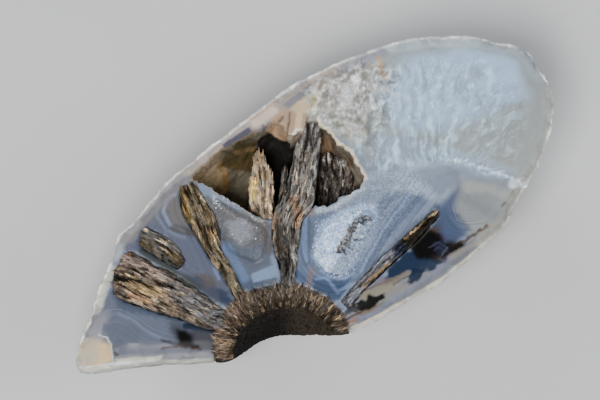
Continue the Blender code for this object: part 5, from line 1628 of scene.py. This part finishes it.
@dataclass
class PithRing:
    """The arc of short radial fibres round the central hollow."""

    node: str = "pith_ring"
    voxel: float = 0.3
    outer_radius: float = 14.1
    seed: int = 37

    def build(self, frame: dict, finish: bpy.types.Material) -> Mesh:
        """Builds the ring with its fibres and bristles.

        Args:
            frame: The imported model.
            finish: The material of the fibres.

        Returns:
            The piece.
        """
        mesh = blank_from(frame["nodes"][self.node], self.voxel, "pith_blank", 2)
        places, normals = mesh.points(), mesh.normals()
        chart = places[:, :2] + CHART_SHIFT
        away = chart - RING_MIDDLE
        reach = np.hypot(away[:, 0], away[:, 1])
        angle = np.arctan2(away[:, 1], away[:, 0])
        grain_at = np.column_stack([reach, angle * self.outer_radius, places[:, 2]])
        grain = Grain(self.seed)
        top = fade(normals[:, 2], 0.1, 0.6)
        strands = grain.layered(grain_at * (0.22, 1.5, 0.4), 3, ridged=True)
        lumps = grain.layered(grain_at * (0.8, 0.8, 0.8) + 20, 3)
        gaps = fade(grain.layered(grain_at * (0.35, 1.7, 0.5) + 60, 2), 0.15, 0.45)
        height = 0.30 * strands + 0.28 * lumps - 0.75 * gaps
        moved = places + normals * (0.12 + height * (0.4 + 0.6 * top))[:, None]
        moved = np.clip(moved, (-51.3, -38.2, 0.0), (51.3, 38.2, 28.2))
        mesh.move(moved)
        paint = self.tones(grain_at, places, chart, top, grain)
        mesh.paint(paint)
        mesh.keep("grain", grain_at)
        mesh.keep("worn", np.full(len(places), 0.65))
        # Cracks, with the sides a little darker: painted shade on them
        mesh.keep("crack", np.clip(gaps * 0.9 + (1 - top) * 0.12, 0, 1))
        heading = np.column_stack([away / np.maximum(reach, 0.1)[:, None], np.full(len(reach), 0.35)])
        mesh.keep("heading", heading)
        outer = fade(reach, 11.0, 13.0)
        mesh.keep("grow", top * (0.35 + 0.65 * outer) * fade(places[:, 2], 26.0, 27.5))
        tree = GrowthTree("pith_bristles", finish, 4, True)
        grown = tree.grow(mesh, "pith_fibres", {"Density": 8.5e6, "Radius": 0.0001, "Height": 0.0012, "Lean": 0.5,
                                                "Smallest": 0.5, "Largest": 1.3, "Tip": 0.2, "Darkest": 0.4,
                                                "Lightest": 2.0, "Seed": 5})
        return grown

    def tones(self, grain_at: np.ndarray, places: np.ndarray, chart: np.ndarray, top: np.ndarray, grain: Grain) -> Paint:
        """Paints the ring.

        Args:
            grain_at: The points as lengths out, round and down.
            places: The points themselves.
            chart: Their places on the chart.
            top: How much each faces up.
            grain: The noise in use.

        Returns:
            The paint.
        """
        paint = Paint((120, 110, 98), len(places))
        reach = grain_at[:, 0]
        paint.lay((140, 122, 108), fade(chart[:, 0], -12, -18) * 0.8)
        paint.lay((84, 72, 60), fade(chart[:, 0], -2, 4) * 0.8)
        paint.lay((58, 46, 34), fade(reach, 12.4, 11.0) * 0.8)
        for k, (tone, edge) in enumerate((((158, 145, 120), 0.2), ((132, 127, 122), 0.18), ((124, 102, 82), 0.3), ((192, 180, 160), 0.32),
                                          ((30, 24, 20), 0.16))):
            value = grain.layered(grain_at * (0.5, 1.9, 0.8) + 19.0 * k, 2)
            paint.lay(tone, fade(value, edge, edge + 0.2) * 0.8)
        inner = 1 - top
        # The inner wall: dark brown under the lip, then painted shade that deepens to near black further down
        paint.lay((30, 25, 20), inner * fade(places[:, 2], 28, 26) * 0.85)
        paint.lay((9, 8, 7), inner * fade(places[:, 2], 25, 12) * 0.9)
        paint.lay((98, 86, 70), inner * fade(chart[:, 0], -8, -3) * 0.85)
        return paint


@dataclass
class PocketCrust:
    """The white sugary druse in the pocket right of the centre rib."""

    node: str = "crystal_crust"
    voxel: float = 0.3
    seed: int = 41

    def build(self, frame: dict, finish: bpy.types.Material) -> Mesh:
        """Builds the crust.

        Args:
            frame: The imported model.
            finish: The material of the quartz.

        Returns:
            The piece.
        """
        mesh = blank_from(frame["nodes"][self.node], self.voxel, "crust_blank", 1)
        places, normals = mesh.points(), mesh.normals()
        chart = places[:, :2] + CHART_SHIFT
        grain = Grain(self.seed)
        crack = ((11.8, -3.0), (9.4, -4.4), (8.2, -6.0), (7.2, -8.5), (5.6, -10.8))
        distance, _, _ = path_field(chart, crack)
        wander = grain.layered(np.column_stack([chart * 1.1, chart[:, 0] * 0]), 3)
        split = fade(distance + 1.5 * wander, 1.2, 0.6)
        up = fade(normals[:, 2], 0.1, 0.6)
        swell = 0.45 * grain.layered(np.column_stack([chart * 0.5, chart[:, 0] * 0 + 3]), 3)
        out = np.asarray(chart) - chart.mean(0)
        out /= np.maximum(np.linalg.norm(out, axis=1), 0.1)[:, None]
        edge = fade(depth_inside(chart, POCKET), 2.6, 0.6)
        moved = places.copy()
        moved[:, :2] += out * (1.5 * edge)[:, None]
        moved[:, 2] += up * (0.75 + 0.5 * edge + 0.6 * swell - 1.1 * split)
        moved[:, 2] = np.clip(moved[:, 2], 25.6, 28.3)
        mesh.move(moved)
        paint = Paint((178, 190, 202), len(places))
        right = fade(chart[:, 0] - 0.62 * (chart[:, 1] + 9.0), 6.6, 8.4)
        paint.lay((142, 154, 170), right * 0.85)
        paint.lay((206, 214, 220), fade(wander, 0.0, 0.4) * (1 - right) * 0.7)
        # Darker grey blotches: painted shade among the crystals
        paint.lay((126, 138, 152), fade(wander, -0.15, -0.5) * 0.6)
        paint.lay((150, 163, 178), fade(depth_inside(chart, POCKET) + 1.6 * wander, 2.4, 0.4) * (0.35 + 0.6 * right))
        paint.lay((64, 64, 66), split * 0.9)
        brown, _, _ = path_field(chart, ((8.2, -5.2), (7.0, -7.6), (5.4, -10.0)))
        paint.lay((104, 84, 66), fade(brown, 0.6, 0.2) * 0.6)
        mesh.paint(paint)
        mesh.keep("heading", np.column_stack([normals[:, :2] * 0.6, np.ones(len(places))]))
        mesh.keep("grow", up * (1 - 0.85 * split))
        tree = GrowthTree("pocket_druse", finish, 6, True)
        return tree.grow(mesh, "pocket_crust", {"Density": 14.0e6, "Radius": 0.00014, "Height": 0.00034, "Lean": 0.9,
                                                "Smallest": 0.4, "Largest": 1.5, "Darkest": 0.5, "Lightest": 1.8,
                                                "Seed": 8})


@dataclass(frozen=True)
class DruseStrip:
    """A line of small quartz points on the face.

    Attributes:
        line: Where it runs on the chart.
        width: Half its width.
        density: Points to a square metre.
        tone: Their colour.
    """

    line: Line
    width: float
    density: float
    tone: Tone = (200, 208, 214)


DRUSE_STRIPS: tuple[DruseStrip, ...] = (
    DruseStrip(((-23.5, 4.1), (-21.0, 1.9), (-19.0, 0.7), (-15.0, -1.9), (-12.5, -4.1), (-10.2, -4.8)), 0.3, 1.6e6,
               (176, 172, 160)),
    DruseStrip(((-21.2, 0.4), (-20.0, -0.6)), 0.6, 4.0e6, (226, 230, 234)),
    DruseStrip(((-17.4, -6.2), (-15.6, -7.8)), 0.8, 0.3e6),
    DruseStrip(((-20.0, -1.6), (-16.0, -5.0), (-11.6, -9.0)), 3.0, 0.05e6),
    DruseStrip(((0.6, -2.5), (4.0, -1.9), (8.0, 0.9), (10.6, 3.0)), 0.7, 0.7e6, (200, 204, 204)),
    DruseStrip(((1.2, -5.0), (0.4, -9.0), (0.6, -12.6), (2.6, -15.8), (5.6, -16.8), (8.4, -15.2)), 0.7, 2.4e6, (176, 188, 202)),
    DruseStrip(((3.0, -4.6), (7.0, -2.4), (12.0, -1.2)), 0.8, 2.4e6, (186, 196, 206)),
    DruseStrip(((12.0, -7.0), (15.6, -1.0), (20.0, 3.6)), 2.6, 0.05e6),
)


@dataclass
class FaceDruse:
    """Fine quartz points that grow on the face of the stone, on its edges beside the hollows."""

    seed: int = 43

    def build(self, stone: Mesh, finish: bpy.types.Material) -> Mesh:
        """Grows the points.

        Args:
            stone: The finished stone, whose face they grow on.
            finish: The material of the quartz.

        Returns:
            The piece.
        """
        places, normals = stone.points(), stone.normals()
        chart = places[:, :2] + CHART_SHIFT
        chosen = np.zeros(len(places))
        paint = Paint((196, 205, 212), len(places))
        for strip in DRUSE_STRIPS:
            share = fade(path_field(chart, strip.line)[0], strip.width * 1.5, strip.width * 0.5)
            share *= fade(places[:, 2], 25.6, 26.6) * fade(normals[:, 2], 0.2, 0.6)
            paint.lay(strip.tone, share)
            chosen = np.maximum(chosen, share * strip.density / 4.0e6)
        work = bmesh.new()
        work.from_mesh(stone.data)
        bmesh.ops.delete(work, geom=[v for v, share in zip(work.verts, chosen) if share < 0.01], context="VERTS")
        data = bpy.data.meshes.new("druse_ground")
        work.to_mesh(data)
        work.free()
        for name in ("paint", *STONE_FIELDS):
            data.attributes.remove(data.attributes[name])
        kept = chosen >= 0.01
        ground = Mesh("druse_ground", data)
        paint.colour = paint.colour[kept]
        ground.paint(paint)
        ground.keep("grow", chosen[kept])
        ground.keep("heading", normals[kept])
        tree = GrowthTree("face_druse", finish, 6, False)
        return tree.grow(ground, "face_druse", {"Density": 9.0e6, "Radius": 0.00012, "Height": 0.00026, "Lean": 0.9,
                                                "Smallest": 0.4, "Largest": 1.3, "Darkest": 0.6, "Lightest": 1.5,
                                                "Seed": 12})


@dataclass
class Studio:
    """The floor, the lights and the camera."""

    target: tuple[float, float, float] = (-3.7, -0.5, 28.0)
    tilt: float = 70.0
    distance: float = 700.0
    pixels_focal: float = 3269.0
    sensor: float = 36.0

    def camera(self) -> None:
        """Sets the camera at the photograph's viewing angle."""
        data = bpy.data.cameras.new("camera")
        data.sensor_width = self.sensor
        data.lens = self.pixels_focal * self.sensor / 600.0
        data.clip_start = 0.01
        camera = bpy.data.objects.new("camera", data)
        bpy.context.scene.collection.objects.link(camera)
        angle = math.radians(self.tilt)
        back = Vector((0.0, -math.cos(angle), math.sin(angle)))
        camera.location = (Vector(self.target) + back * self.distance) * MM
        camera.rotation_euler = back.to_track_quat("Z", "Y").to_euler()
        bpy.context.scene.camera = camera

    def lamp(self, name: str, place: tuple[float, float, float], size: float, power: float, tint: Tone) -> None:
        """Sets a soft square lamp that looks at the stone.

        Args:
            name: Its name.
            place: Where it stands, in metres.
            size: Its side in metres.
            power: Its power in watts.
            tint: Its colour, 0 to 1.
        """
        data = bpy.data.lights.new(name, "AREA")
        data.shape = "SQUARE"
        data.size = size
        data.energy = power
        data.color = tint
        lamp = bpy.data.objects.new(name, data)
        bpy.context.scene.collection.objects.link(lamp)
        lamp.location = place
        lamp.rotation_euler = (Vector(place) - Vector((0, 0, 0.02))).to_track_quat("Z", "Y").to_euler()

    def build(self) -> None:
        """Sets the floor, the lamps and the camera."""
        floor = bmesh.new()
        bmesh.ops.create_grid(floor, x_segments=8, y_segments=8, size=3.0)
        data = bpy.data.meshes.new("floor")
        floor.to_mesh(data)
        floor.free()
        data.materials.append(FloorFinish().material())
        obj = bpy.data.objects.new("floor", data)
        bpy.context.scene.collection.objects.link(obj)
        world = bpy.data.worlds.new("studio")
        world.use_nodes = True
        sky = world.node_tree.nodes["Background"]
        sky.inputs["Color"].default_value = (0.93, 0.95, 1.0, 1.0)
        sky.inputs["Strength"].default_value = 0.24
        bpy.context.scene.world = world
        self.lamp("front_key", (-0.12, -0.40, 0.66), 0.30, 7.0, (1.0, 0.985, 0.96))
        self.lamp("side_fill", (0.60, -0.10, 0.42), 0.40, 2.2, (0.92, 0.96, 1.0))
        self.lamp("back_light", (-0.30, 0.62, 0.36), 0.36, 2.6, (0.95, 0.97, 1.0))
        self.camera()


def main() -> None:
    """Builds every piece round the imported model."""
    logging.basicConfig(level=logging.INFO, format="%(message)s")
    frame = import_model()
    stone = AgateStone()
    stone_mesh = stone.build(frame)
    quartz = CrystalFinish().material()
    druse = FaceDruse().build(stone_mesh, quartz)
    place_piece(stone_mesh, ChalcedonyFinish().material(), stone.node)
    place_piece(druse, quartz)
    crust = PocketCrust()
    place_piece(crust.build(frame, quartz), quartz, crust.node)
    ring = PithRing()
    pith = WoodFinish("pith_fibre", 0.7, 0.8, (0.8, 2.6, 1.6), (1.8, 5.0, 3.0)).material()
    place_piece(ring.build(frame, pith), pith, ring.node)
    finishes = {Slot.WOOD: WoodFinish("rib_wood").material(), Slot.DARK_WOOD: WoodFinish("dark_wood", 0.9, 0.75).material()}
    trees = {slot: GrowthTree(f"{slot.value}_fibres", finish, 5, True) for slot, finish in finishes.items()}
    for rib in WOOD_RIBS:
        place_piece(rib.frayed(rib.build(frame), trees[rib.slot]), finishes[rib.slot], rib.node)
    Studio().build()


if __name__ == "__main__":
    main()
